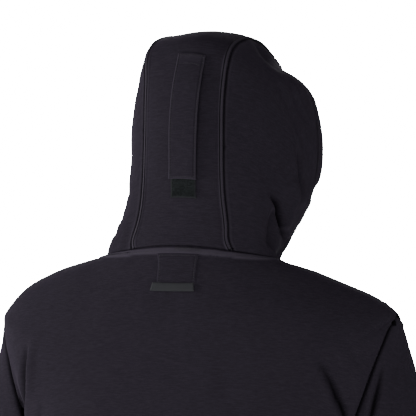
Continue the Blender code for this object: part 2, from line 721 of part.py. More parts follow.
def laid_on(panel, places, top, bottom, centre_column, width, offset, lift, thickness):
    """The walls of a flat piece that lies on a panel, made from the panel's own points."""
    outer = []
    inner = []
    for row in grid_lines(row_of(places, top), row_of(places, bottom)):
        nearest = min(max(round(row), 0), len(places) - 1)
        middle = panel.outer[nearest, centre_column]
        cell = np.linalg.norm(panel.outer[nearest, centre_column + 1] - middle)
        columns = centre_column + (offset + width * ACROSS_LAID_PIECE) / cell
        found = [panel.at(row, column) for column in columns]
        outer.append([point + normal * (lift + thickness) for point, normal in found])
        inner.append([point + normal * lift for point, normal in found])
    return np.array(outer), np.array(inner)


def build_tab_and_label(back, fleece, label_grey, collection):
    places = [place for place, _ in torso_rows()]
    outer, inner = laid_on(
        back, places, TAB_TOP, TAB_BOTTOM, BACK_HALF_COLUMNS, TAB_WIDTH, TAB_OFFSET,
        ON_CLOTH, TAB_THICKNESS,
    )
    closed_wall("neck_tab", outer, inner, fleece, collection)
    outer, inner = laid_on(
        back, places, LABEL_TOP, LABEL_BOTTOM, BACK_HALF_COLUMNS, LABEL_WIDTH, LABEL_OFFSET,
        ON_CLOTH * 2 + TAB_THICKNESS, LABEL_THICKNESS,
    )
    closed_wall("neck_label", outer, inner, label_grey, collection)


def build_patch(hood_centre, material, collection):
    """The hook-and-loop patch. The strap's lower end lies on its upper half."""
    outer, inner = laid_on(
        hood_centre, HOOD_ROWS, PATCH_BOTTOM, PATCH_TOP, STRIP_HALF_COLUMNS, PATCH_WIDTH,
        STRAP_BOTTOM_OFFSET, ON_CLOTH, PATCH_THICKNESS,
    )
    closed_wall("hood_patch", outer, inner, material, collection)


def build_strap(hood_centre, material, collection):
    """The strap: sewn down at its top, a little proud of the hood, and lying on the patch."""
    outer = []
    inner = []
    for step in range(STRAP_ROWS + 1):
        share = step / STRAP_ROWS
        row = row_of(HOOD_ROWS, STRAP_TOP + (STRAP_BOTTOM - STRAP_TOP) * share)
        offset = STRAP_TOP_OFFSET + (STRAP_BOTTOM_OFFSET - STRAP_TOP_OFFSET) * share
        nearest = round(row)
        middle = hood_centre.outer[nearest, STRIP_HALF_COLUMNS]
        beside = hood_centre.outer[nearest, STRIP_HALF_COLUMNS + 1]
        cell = np.linalg.norm(beside - middle)
        columns = STRIP_HALF_COLUMNS + (offset + STRAP_WIDTH * ACROSS_LAID_PIECE) / cell
        on_patch = (PATCH_THICKNESS + ON_CLOTH) * min(1.0, share / 0.25)
        lift = ON_CLOTH + on_patch + STRAP_LIFT * math.sin(math.pi * share) ** 2
        found = [hood_centre.at(row, column) for column in columns]
        outer.append([point + normal * (lift + STRAP_THICKNESS) for point, normal in found])
        inner.append([point + normal * lift for point, normal in found])
    closed_wall("hood_strap", np.array(outer), np.array(inner), material, collection)


def front_edge_rows(side, torso, band, hood):
    """Inner points at a front edge and one column in from it, with the way out, hem to throat."""
    last_hood_row = HOOD_ROWS.index(HOOD_END - FACE_HEM)
    band_edge, band_in = (-1, -2) if side == "left" else (0, 1)
    rows = [
        (band.inner[row, band_edge], band.inner[row, band_in], band.normals[row, band_edge])
        for row in reversed(range(len(HEM_BAND_ROWS)))
    ]
    front = torso["front_" + side]
    for row in reversed(range(len(front.outer) - 1)):
        rows.append((front.inner[row, -1], front.inner[row, -2], front.normals[row, -1]))
    hood_side = hood["hood_side_" + side]
    for row in range(1, last_hood_row + 1):
        rows.append((hood_side.inner[row, -1], hood_side.inner[row, -2], hood_side.normals[row, -1]))
    return rows


def build_tapes(torso, band, hood, material, collection):
    """Both zip tapes, just inside the front edges. Gives the middle line of the zip."""
    inner_edges = []
    ways_out = []
    for side in ("left", "right"):
        outer = []
        inner = []
        for edge, further_in, normal in front_edge_rows(side, torso, band, hood):
            across = unit(further_in - edge)
            start = edge - normal * UNDER_CLOTH - across * (FRONT_EDGE_FROM_CENTRE - TAPE_INNER_EDGE)
            end = edge - normal * UNDER_CLOTH + across * (TAPE_OUTER_EDGE - FRONT_EDGE_FROM_CENTRE)
            outer.append([start, end])
            inner.append([start - normal * TAPE_THICKNESS, end - normal * TAPE_THICKNESS])
        outer = np.array(outer)
        inner = np.array(inner)
        closed_wall("zip_tape_" + side, outer, inner, material, collection)
        inner_edges.append((outer[:, 0] + inner[:, 0]) / 2)
        ways_out.append(unit(outer[:, 0] - inner[:, 0]))
    middle = (inner_edges[0] + inner_edges[1]) / 2
    return middle, unit(ways_out[0] + ways_out[1])


def build_chain(middle, ways_out, end, material, collection):
    """The closed teeth as one strip, from the hem up to the slider."""
    keep = [index for index in range(len(middle)) if middle[index, 2] < end[2] - CHAIN_THICKNESS]
    points = np.array([middle[index] for index in keep] + [end])
    out = np.array([ways_out[index] for index in keep] + [ways_out[keep[-1]]])
    across = np.array([CHAIN_HALF_WIDTH, 0.0, 0.0])
    front = points + out * CHAIN_THICKNESS / 2
    rear = points - out * CHAIN_THICKNESS / 2
    outer = np.stack([front - across, front + across], axis=1)
    inner = np.stack([rear - across, rear + across], axis=1)
    closed_wall("zip_chain", outer, inner, material, collection)


def box(name, low, high, collection):
    bpy.ops.mesh.primitive_cube_add(size=1.0)
    obj = bpy.context.active_object
    obj.name = name
    low = Vector(low)
    high = Vector(high)
    size = high - low
    obj.data.transform(Matrix.Translation((low + high) / 2) @ Matrix.Diagonal((*size, 1.0)))
    for owner in list(obj.users_collection):
        owner.objects.unlink(obj)
    collection.objects.link(obj)
    return obj


def build_slider(place, up, out, material, collection, cutters):
    """Two plates joined by a post, with the tapes between them, and a bridge over the pull's bar.

    In the slider's own frame X runs across, Y up along the zip and Z out of the garment.
    """
    half = SLIDER_LENGTH / 2
    plate_low = SLIDER_GAP / 2
    plate_high = plate_low + SLIDER_PLATE
    bridge_high = plate_high + BRIDGE_HEIGHT
    sunk = SLIDER_PLATE / 2
    width = SLIDER_HALF_WIDTH
    post = SLIDER_POST_HALF_WIDTH
    bridge = BRIDGE_HALF_WIDTH
    body = box("zip_slider", (-width, -half, plate_low), (width, half, plate_high), collection)
    added = [
        box("slider_back", (-width, -half, -plate_high), (width, half, -plate_low), cutters),
        box("slider_post", (-post, -half + SLIDER_PLATE, -plate_high + sunk),
            (post, half - SLIDER_PLATE, plate_high - sunk), cutters),
        box("bridge_block", (-bridge, -BRIDGE_OUTER_FACE, plate_high - sunk),
            (bridge, BRIDGE_OUTER_FACE, bridge_high), cutters),
    ]
    opening = box("bridge_opening", (-2 * bridge, -BRIDGE_INNER_FACE, plate_high),
                  (2 * bridge, BRIDGE_INNER_FACE, bridge_high - BRIDGE_TOP), cutters)
    for piece in added + [opening]:
        piece.hide_render = True
        piece.display_type = "WIRE"
        change = body.modifiers.new(piece.name, "BOOLEAN")
        change.operation = "DIFFERENCE" if piece is opening else "UNION"
        change.object = piece
    across = up.cross(out)
    frame = Matrix((across, up, out)).transposed().to_4x4()
    frame.translation = place
    body.data.materials.append(material)
    for piece in [body, opening] + added:
        piece.matrix_world = frame @ piece.matrix_world
    return frame @ Vector((0.0, 0.0, plate_high + BAR_HEIGHT))


def arc(centre_x, centre_y, radius, start_degrees, end_degrees, steps):
    points = []
    for step in range(steps + 1):
        angle = math.radians(start_degrees + (end_degrees - start_degrees) * step / steps)
        points.append((centre_x + radius * math.cos(angle), centre_y + radius * math.sin(angle)))
    return points


def build_pull(axis_point, material, collection):
    """The pull tab: a flat plate that hangs straight down.

    A window near its top leaves a bar, which turns under the slider's bridge.
    """
    bar = BAR_HALF_WIDTH
    neck = PULL_NECK_HALF_WIDTH
    shoulder = -PULL_SHOULDER
    waist = shoulder - PULL_HALF_WIDTH + PULL_NECK_HALF_WIDTH
    outline = [(neck - PULL_CORNER, bar), (-neck + PULL_CORNER, bar), (-neck, bar - PULL_CORNER)]
    outline += [(-neck, shoulder), (-PULL_HALF_WIDTH, waist)]
    outline += arc(0.0, PULL_HALF_WIDTH - PULL_LENGTH, PULL_HALF_WIDTH, 180.0, 360.0, 10)
    outline += [(PULL_HALF_WIDTH, waist), (neck, shoulder), (neck, bar - PULL_CORNER)]
    window = [
        (-WINDOW_HALF_WIDTH, -bar), (WINDOW_HALF_WIDTH, -bar),
        (WINDOW_HALF_WIDTH, -WINDOW_END), (-WINDOW_HALF_WIDTH, -WINDOW_END),
    ]
    curve = bpy.data.curves.new("zip_pull", "CURVE")
    curve.dimensions = "2D"
    curve.fill_mode = "BOTH"
    curve.extrude = PULL_THICKNESS / 2
    for points in (outline, window):
        spline = curve.splines.new("POLY")
        spline.points.add(len(points) - 1)
        for target, (x, y) in zip(spline.points, points):
            target.co = (x, y, 0.0, 1.0)
        spline.use_cyclic_u = True
    curve.materials.append(material)
    obj = bpy.data.objects.new("zip_pull", curve)
    obj.location = axis_point
    obj.rotation_euler = (math.radians(90.0), 0.0, 0.0)
    collection.objects.link(obj)


def point_below(middle, distance):
    """The point this far down the zip's middle line from its top end, and the way up there."""
    top = middle[-1]
    for index in range(len(middle) - 1, 0, -1):
        if np.linalg.norm(middle[index - 1] - top) >= distance:
            up = unit(top - middle[index - 1])
            return top - up * distance, up
    return middle[0], unit(top - middle[0])


def build_zip(torso, band, hood, tape, metal, collection, cutters):
    middle, ways_out = build_tapes(torso, band, hood, tape, collection)
    half = SLIDER_LENGTH / 2
    centre, up = point_below(middle, SLIDER_BELOW_TAPE_END + half)
    chain_end = centre - up * (half + SEAM_GAP)
    build_chain(middle, ways_out, chain_end, metal, collection)
    up = Vector(up)
    out = Vector((0.0, -up.z, up.y))
    axis_point = build_slider(Vector(centre), up, out, metal, collection, cutters)
    build_pull(axis_point, metal, collection)


clear_scene()
garment = new_collection("zip_up_hoodie")
helpers = new_collection("cutters")
fleece_finish = finish("black_fleece", FLEECE, 0.85)
rib_finish = finish("black_rib", RIB, 0.85)
patch_finish = finish("hook_and_loop", HOOK_PATCH, 0.95)
label_finish = finish("grey_label", LABEL_GREY, 0.55)
tape_finish = finish("zip_tape", TAPE_BLACK, 0.80)
metal_finish = finish("gunmetal", GUNMETAL, 0.40, 0.9)
torso_panels = build_torso(fleece_finish, garment)
hem_band = build_hem_band(rib_finish, garment)
hood_panels = build_hood(fleece_finish, garment)
build_sleeves(fleece_finish, rib_finish, garment)
build_patch(hood_panels["hood_centre"], patch_finish, garment)
build_strap(hood_panels["hood_centre"], fleece_finish, garment)
build_tab_and_label(torso_panels["back"], fleece_finish, label_finish, garment)
build_zip(torso_panels, hem_band, hood_panels, tape_finish, metal_finish, garment, helpers)
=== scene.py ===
"""A black zip-up hoodie in the form it has when worn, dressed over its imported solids."""

import collections
import heapq
import math

import bmesh
import bpy
import numpy as np
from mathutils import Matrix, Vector, noise
from mathutils.bvhtree import BVHTree
from mathutils.kdtree import KDTree


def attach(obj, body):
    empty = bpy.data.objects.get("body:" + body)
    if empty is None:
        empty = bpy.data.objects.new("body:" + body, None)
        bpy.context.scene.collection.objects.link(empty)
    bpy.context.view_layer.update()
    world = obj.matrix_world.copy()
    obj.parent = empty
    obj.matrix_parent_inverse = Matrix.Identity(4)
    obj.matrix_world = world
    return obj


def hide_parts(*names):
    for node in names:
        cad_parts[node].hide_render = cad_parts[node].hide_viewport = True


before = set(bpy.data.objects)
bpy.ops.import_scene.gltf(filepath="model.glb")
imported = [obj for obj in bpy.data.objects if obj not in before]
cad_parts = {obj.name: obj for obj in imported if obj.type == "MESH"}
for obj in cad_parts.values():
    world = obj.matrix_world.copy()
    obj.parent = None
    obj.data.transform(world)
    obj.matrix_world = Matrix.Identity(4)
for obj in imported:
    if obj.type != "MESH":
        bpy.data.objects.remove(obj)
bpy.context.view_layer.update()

# The camera stands behind the garment and a little towards its right sleeve, level with the hood's
# base. It has a long lens, 2.6 m away, and the picture is half a metre wide at the garment.
CAMERA_AZIMUTH = math.radians(198.0)
CAMERA_DISTANCE = 2.6
PICTURE_WIDTH = 0.5012
SENSOR_WIDTH = 0.036
AIM_RIGHT = 0.0084
AIM_UP = 0.0639


def towards(azimuth, elevation=0.0):
    """The direction from the garment to a viewer at this azimuth and elevation."""
    flat = math.cos(elevation)
    return Vector((math.sin(azimuth) * flat, -math.cos(azimuth) * flat, math.sin(elevation)))


def placed(name, data):
    """An object of this name in the scene."""
    made = bpy.data.objects.new(name, data)
    bpy.context.scene.collection.objects.link(made)
    return made


picture_right = Vector((math.cos(CAMERA_AZIMUTH), math.sin(CAMERA_AZIMUTH), 0.0))
aim = picture_right * AIM_RIGHT + Vector((0.0, 0.0, AIM_UP))
lens = bpy.data.cameras.new("photo_camera")
lens.sensor_width = SENSOR_WIDTH * 1000
lens.lens = SENSOR_WIDTH * 1000 * CAMERA_DISTANCE / PICTURE_WIDTH
camera = placed("photo_camera", lens)
camera.location = aim + towards(CAMERA_AZIMUTH) * CAMERA_DISTANCE
camera.rotation_euler = (aim - camera.location).to_track_quat("-Z", "Y").to_euler()
bpy.context.scene.camera = camera

# The studio: a white surround that shows brighter than it lights, a large soft light high on the
# left of the picture, weaker ones on the right and in front, and a pale floor under the hem.
SURROUND_LIGHT = 0.10
SURROUND_SHOWN = 45.0
FLOOR_HEIGHT = -0.72
FLOOR_RADIUS = 3.0
FLOOR_COLOUR = (0.80, 0.80, 0.80, 1.0)
LIGHTS = (
    # name, azimuth and elevation in degrees, distance and width in metres, watts
    ("key_light", 110.0, 4.0, 2.4, 1.1, 52.0),
    ("camera_light", 188.0, -10.0, 2.9, 1.5, 56.0),
    ("fill_light", 250.0, -6.0, 2.6, 1.2, 17.0),
    ("front_light", 20.0, 15.0, 2.6, 1.8, 50.0),
)

surround = bpy.data.worlds.new("white_surround")
surround.use_nodes = True
surround_nodes = surround.node_tree.nodes
surround_links = surround.node_tree.links
surround_nodes["Background"].inputs["Color"].default_value = (1.0, 1.0, 1.0, 1.0)
surround_nodes["Background"].inputs["Strength"].default_value = SURROUND_LIGHT
shown = surround_nodes.new("ShaderNodeBackground")
shown.inputs["Color"].default_value = (1.0, 1.0, 1.0, 1.0)
shown.inputs["Strength"].default_value = SURROUND_SHOWN
either = surround_nodes.new("ShaderNodeMixShader")
surround_links.new(surround_nodes.new("ShaderNodeLightPath").outputs["Is Camera Ray"], either.inputs[0])
surround_links.new(surround_nodes["Background"].outputs[0], either.inputs[1])
surround_links.new(shown.outputs[0], either.inputs[2])
surround_links.new(either.outputs[0], surround_nodes["World Output"].inputs["Surface"])
bpy.context.scene.world = surround
for name, azimuth, elevation, distance, width, watts in LIGHTS:
    light = bpy.data.lights.new(name, "AREA")
    light.size = width
    light.energy = watts
    lamp = placed(name, light)
    lamp.location = aim + towards(math.radians(azimuth), math.radians(elevation)) * distance
    lamp.rotation_euler = (aim - lamp.location).to_track_quat("-Z", "Y").to_euler()
floor_disc = bmesh.new()
bmesh.ops.create_circle(floor_disc, cap_ends=True, segments=96, radius=FLOOR_RADIUS)
bmesh.ops.translate(floor_disc, vec=(0.0, 0.0, FLOOR_HEIGHT), verts=floor_disc.verts)
floor_mesh = bpy.data.meshes.new("studio_floor")
floor_disc.to_mesh(floor_mesh)
floor_disc.free()
floor = placed("studio_floor", floor_mesh)
floor_paint = bpy.data.materials.new("floor_paint")
floor_paint.use_nodes = True
floor_shader = floor_paint.node_tree.nodes["Principled BSDF"]
floor_shader.inputs["Base Color"].default_value = FLOOR_COLOUR
floor_shader.inputs["Roughness"].default_value = 0.9
floor_mesh.materials.append(floor_paint)


# The fleece: a cotton sweatshirt jersey, black with a slight violet cast, its face a fine knit in
# which lighter fibres lie as short streaks across the cloth. It is matt, with a little loose fibre.
# It gets painted shade in its seams and deep folds, and a painted highlight where topstitching lifts it.
FLEECE_DARK = (0.0178, 0.0146, 0.0210, 1.0)
FLEECE_LIGHT = (0.0270, 0.0225, 0.0315, 1.0)
# A painted highlight, for the bands that topstitching lifts and for the strap's and tab's edges.
FLEECE_HIGHLIGHT = (0.0490, 0.0415, 0.0560, 1.0)
# The colour of the painted shade in seam ditches, fold floors, rib valleys and along the face hem.
PAINTED_SHADE_COLOUR = (0.0012, 0.0011, 0.0015, 1.0)
STREAK_LENGTH = 0.009
STREAK_WIDTH = 0.0010
COURSE_PITCH = 0.0011


class Value:
    """One output of a node, with arithmetic that adds the nodes it needs."""

    def __init__(self, paint, socket):
        self.paint = paint
        self.socket = socket

    def math(self, operation, *others, flipped=False):
        operands = [self, *others]
        if flipped:
            operands.reverse()
        return self.paint.node("ShaderNodeMath", {"operation": operation}, dict(enumerate(operands)))

    def __add__(self, other):
        return self.math("ADD", other)

    def __sub__(self, other):
        return self.math("SUBTRACT", other)

    def __mul__(self, other):
        return self.math("MULTIPLY", other)

    def __rsub__(self, other):
        return self.math("SUBTRACT", other, flipped=True)

    __radd__ = __add__
    __rmul__ = __mul__

    def stepped(self, low, high):
        """0 below low, 1 above high, and smooth between them."""
        return self.paint.node(
            "ShaderNodeMapRange", {"interpolation_type": "SMOOTHSTEP"},
            {"Value": self, "From Min": low, "From Max": high},
        )


class Paint:
    """A material in the making."""

    def __init__(self, name, **constants):
        self.material = bpy.data.materials.new(name)
        self.material.use_nodes = True
        self.tree = self.material.node_tree
        self.shader = self.tree.nodes["Principled BSDF"]
        for socket, value in constants.items():
            self.shader.inputs[socket.replace("_", " ")].default_value = value

    def node(self, kind, settings, inputs, output=0):
        """Adds a node of this kind, sets it, then fills its sockets with numbers or links."""
        made = self.tree.nodes.new(kind)
        for setting, value in settings.items():
            setattr(made, setting, value)
        for socket, value in inputs.items():
            if isinstance(value, Value):
                self.tree.links.new(value.socket, made.inputs[socket])
            else:
                made.inputs[socket].default_value = value
        return Value(self, made.outputs[output])

    def attribute(self, name):
        return self.node("ShaderNodeAttribute", {"attribute_name": name}, {}, "Fac")

    def place(self):
        return self.node("ShaderNodeTexCoord", {}, {}, "Object")

    def noise(self, vector, scale, detail=2.0, roughness=0.5):
        return self.node(
            "ShaderNodeTexNoise", {},
            {"Vector": vector, "Scale": scale, "Detail": detail, "Roughness": roughness},
        )

    def streaks(self, length, width):
        """Streaks of this length that lie across the cloth, from 0 to 1."""
        split = self.node("ShaderNodeSeparateXYZ", {}, {0: self.place()})
        across = split * (1.0 / length)
        deep = Value(self, split.socket.node.outputs["Y"]) * (1.0 / length)
        along = self.attribute("along") * (1.0 / width)
        place = self.node("ShaderNodeCombineXYZ", {}, {"X": across, "Y": deep, "Z": along})
        return self.noise(place, 1.0, 2.0, 0.55)

    def mix(self, factor, first, second):
        """A colour between two colours."""
        made = self.tree.nodes.new("ShaderNodeMix")
        made.data_type = "RGBA"
        for socket, value in (("Factor_Float", factor), ("A_Color", first), ("B_Color", second)):
            target = next(entry for entry in made.inputs if entry.identifier == socket)
            if isinstance(value, Value):
                self.tree.links.new(value.socket, target)
            else:
                target.default_value = value
        result = next(entry for entry in made.outputs if entry.identifier == "Result_Color")
        return Value(self, result)

    def set(self, socket, value):
        self.tree.links.new(value.socket, self.shader.inputs[socket])

    def raised(self, height, depth):
        """Lets a height from 0 to 1 stand out of the surface by this depth in metres."""
        self.set("Normal", self.node("ShaderNodeBump", {}, {"Distance": depth, "Height": height}))


def cloth_paint(name, dark, light):
    """A matt knit: the shader's constants, its marl and its cloudy shade."""
    paint = Paint(name, Roughness=0.92, Sheen_Weight=0.05, Sheen_Roughness=0.5)
    paint.shader.inputs["Sheen Tint"].default_value = (0.75, 0.60, 0.90, 1.0)
    paint.shader.inputs["Specular IOR Level"].default_value = 0.06
    marl = paint.streaks(STREAK_LENGTH, STREAK_WIDTH) * 0.62
    marl += paint.streaks(STREAK_LENGTH / 4, STREAK_WIDTH / 2) * 0.38
    marl = marl.stepped(0.36, 0.66)
    cloudy = paint.noise(paint.place(), 22.0, 3.0)
    colour = paint.mix(marl * 0.75 + cloudy * 0.25, dark, light)
    return paint, marl, colour


def fleece_paint():
    paint, marl, colour = cloth_paint("black_fleece", FLEECE_DARK, FLEECE_LIGHT)
    # Painted highlight where the cloth is raised.
    colour = paint.mix(paint.attribute("highlight_and_selvedge"), colour, FLEECE_HIGHLIGHT)
    # Painted shade in the seams, the deep folds and along the face hem.
    colour = paint.mix(paint.attribute("seam_shade"), colour, PAINTED_SHADE_COLOUR)
    paint.set("Base Color", colour)
    course = (paint.attribute("along") * (2 * math.pi / COURSE_PITCH)).math("SINE")
    loose = paint.noise(paint.place(), 900.0, 2.0)
    paint.raised(course * 0.12 + marl * 0.4 + loose * 0.5, 0.00035)
    return paint.material


fleece = fleece_paint()

# The 2 by 2 rib of the hem band and cuffs: the same yarn in ridges 4 mm apart that run along the
# garment, with painted shade between them.
RIB_PITCH = 0.0042
RIB_DEPTH = 0.0009
RIB_DARK = (0.0140, 0.0115, 0.0170, 1.0)
RIB_LIGHT = (0.0250, 0.0205, 0.0300, 1.0)


def rib_paint():
    paint, marl, colour = cloth_paint("black_rib", RIB_DARK, RIB_LIGHT)
    wave = (paint.attribute("round_rib") * (2 * math.pi / RIB_PITCH)).math("SINE")
    ridge = (wave * 0.5 + 0.5).stepped(0.15, 0.75)
    # Painted shade in the valleys between the ridges and along the seams.
    colour = paint.mix(ridge, PAINTED_SHADE_COLOUR, colour)
    paint.set("Base Color", paint.mix(paint.attribute("seam_shade"), colour, PAINTED_SHADE_COLOUR))
    paint.raised(ridge + marl * 0.15, RIB_DEPTH)
    return paint.material


rib = rib_paint()

# The cloth's skins. Each CAD panel's outer face is cut finer on a smooth surface that still passes
# through its points. The panel keeps those points as arrays, which the sections below it move.
WALL_DEPTH = 0.004
RIM_DEPTH = 0.0032
RIM_WIDTH = 0.0055
SAME_POINT = 1e-5
UNDER_SKIN = 3e-4
FITTING_ROUNDS = 4
TOUCHING = 0.0045
VOTES_EACH_WAY = 7
FAR = 9.0
FRONTS = ("front_left", "front_right")
SLEEVES = ("sleeve_left", "sleeve_right")
CUFFS = ("cuff_left", "cuff_right")
HOOD_SIDES = ("hood_side_left", "hood_side_right")
HOOD_PANELS = ("hood_centre", *HOOD_SIDES)
SEWN_NODES = ("back", *FRONTS, *SLEEVES, *CUFFS, "hem_band", *HOOD_PANELS)


def is_rim(face, depth):
    """Whether a face is part of the wall's rim: short across, deep behind, and with the two skins
    facing opposite ways beyond its long edges."""
    if len(face.verts) != 4 or depth < RIM_DEPTH:
        return False
    edges = [loop.edge for loop in face.loops]
    for pair in (0, 1):
        beyond = []
        for edge in (edges[pair], edges[pair + 2]):
            beyond += [other for other in edge.link_faces if other != face]
        across = max(edges[1 - pair].calc_length(), edges[3 - pair].calc_length())
        if across < RIM_WIDTH and beyond[0].normal.dot(beyond[1].normal) < -0.5:
            return True
    return False


def outer_skin(node):
    """The outside of a node's cloth wall, as one sheet of quads.

    It grows from the largest face, the skin behind it and the rim's faces at once, always over the
    flattest edge left, so that each meets the others at the wall's sharp edges.
    """
    sheet = bmesh.new()
    sheet.from_mesh(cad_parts[node].data)
    bmesh.ops.remove_doubles(sheet, verts=sheet.verts, dist=SAME_POINT)
    bmesh.ops.join_triangles(
        sheet, faces=sheet.faces[:], angle_face_threshold=math.radians(40),
        angle_shape_threshold=math.radians(80),
    )
    sheet.normal_update()
    sheet.faces.ensure_lookup_table()
    tree = BVHTree.FromBMesh(sheet)
    hits = []
    for face in sheet.faces:
        start = face.calc_center_median() - face.normal * UNDER_SKIN
        _, _, behind, depth = tree.ray_cast(start, -face.normal)
        hits.append((1.0, behind) if depth is None else (depth, behind))
    thin = []
    for face in sheet.faces:
        depth, behind = hits[face.index]
        if depth < WALL_DEPTH and behind != face.index:
            thin.append(face)
    first = max(thin, key=lambda face: face.calc_area())
    growing = [(0.0, first.index, "outside"), (0.0, hits[first.index][1], "inside")]
    growing += [(0.0, face.index, "rim") for face in sheet.faces if is_rim(face, hits[face.index][0])]
    heapq.heapify(growing)
    part = {}
    while growing:
        _, index, name = heapq.heappop(growing)
        if index in part:
            continue
        part[index] = name
        for edge in sheet.faces[index].edges:
            for other in edge.link_faces:
                if other.index not in part:
                    heapq.heappush(growing, (edge.calc_face_angle(), other.index, name))
    rest = [face for face in sheet.faces if part[face.index] != "outside"]
    bmesh.ops.delete(sheet, geom=rest, context="FACES")
    return sheet


def rounded(mesh, levels):
    """The mesh with its quads cut finer, on the smooth surface that they lead to."""
    cage = placed("skin_cage", mesh)
    rounding = cage.modifiers.new("rounding", "SUBSURF")
    rounding.levels = levels
    rounding.render_levels = levels
    rounding.boundary_smooth = "PRESERVE_CORNERS"
    graph = bpy.context.evaluated_depsgraph_get()
    fine = bpy.data.meshes.new_from_object(cage.evaluated_get(graph))
    bpy.data.objects.remove(cage)
    return fine


def places_of(mesh, count):
    places = np.empty(len(mesh.vertices) * 3)
    mesh.vertices.foreach_get("co", places)
    return places.reshape(-1, 3)[:count]


def smoothed(sheet, levels):
    """A finer, rounded sheet that still passes through the first one's points."""
    mesh = bpy.data.meshes.new("skin")
    sheet.to_mesh(mesh)
    sheet.free()
    count = len(mesh.vertices)
    wanted = places_of(mesh, count)
    control = wanted.copy()
    for _ in range(FITTING_ROUNDS):
        limit = rounded(mesh, 1)
        control += wanted - places_of(limit, count)
        bpy.data.meshes.remove(limit)
        mesh.vertices.foreach_set("co", control.ravel())
        mesh.update()
    return rounded(mesh, levels)


def unit(vectors):
    return vectors / np.maximum(np.linalg.norm(vectors, axis=-1, keepdims=True), 1e-12)


class Chain:
    """A line of points, with the length travelled to each."""

    def __init__(self, points):
        self.points = np.asarray(points, float)
        steps = np.linalg.norm(np.diff(self.points, axis=0), axis=1)
        self.travelled = np.concatenate([[0.0], np.cumsum(steps)])
        self.length = self.travelled[-1]
        self.tree = KDTree(len(self.points))
        for index, point in enumerate(self.points):
            self.tree.insert(point, index)
        self.tree.balance()

    def nearest(self, places):
        """For each place, how far it is from the line and how far along the line it lies."""
        index = np.array([self.tree.find(place)[1] for place in places])
        best = np.full(len(places), FAR)
        along = np.zeros(len(places))
        for shift in (-1, 0):
            first = np.clip(index + shift, 0, len(self.points) - 2)
            start = self.points[first]
            way = self.points[first + 1] - start
            size = np.maximum(np.linalg.norm(way, axis=1), 1e-9)
            part = np.clip(((places - start) * way).sum(axis=1) / size**2, 0.0, 1.0)
            gap = np.linalg.norm(places - start - part[:, None] * way, axis=1)
            closer = gap < best
            best = np.where(closer, gap, best)
            along = np.where(closer, self.travelled[first] + part * size, along)
        return best, along

    def at(self, travelled):
        return np.stack([np.interp(travelled, self.travelled, column) for column in self.points.T], axis=-1)


solid_trees = {}
for node in SEWN_NODES:
    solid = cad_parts[node].data
    solid_trees[node] = BVHTree.FromPolygons(
        [vertex.co for vertex in solid.vertices], [tuple(face.vertices) for face in solid.polygons]
    )


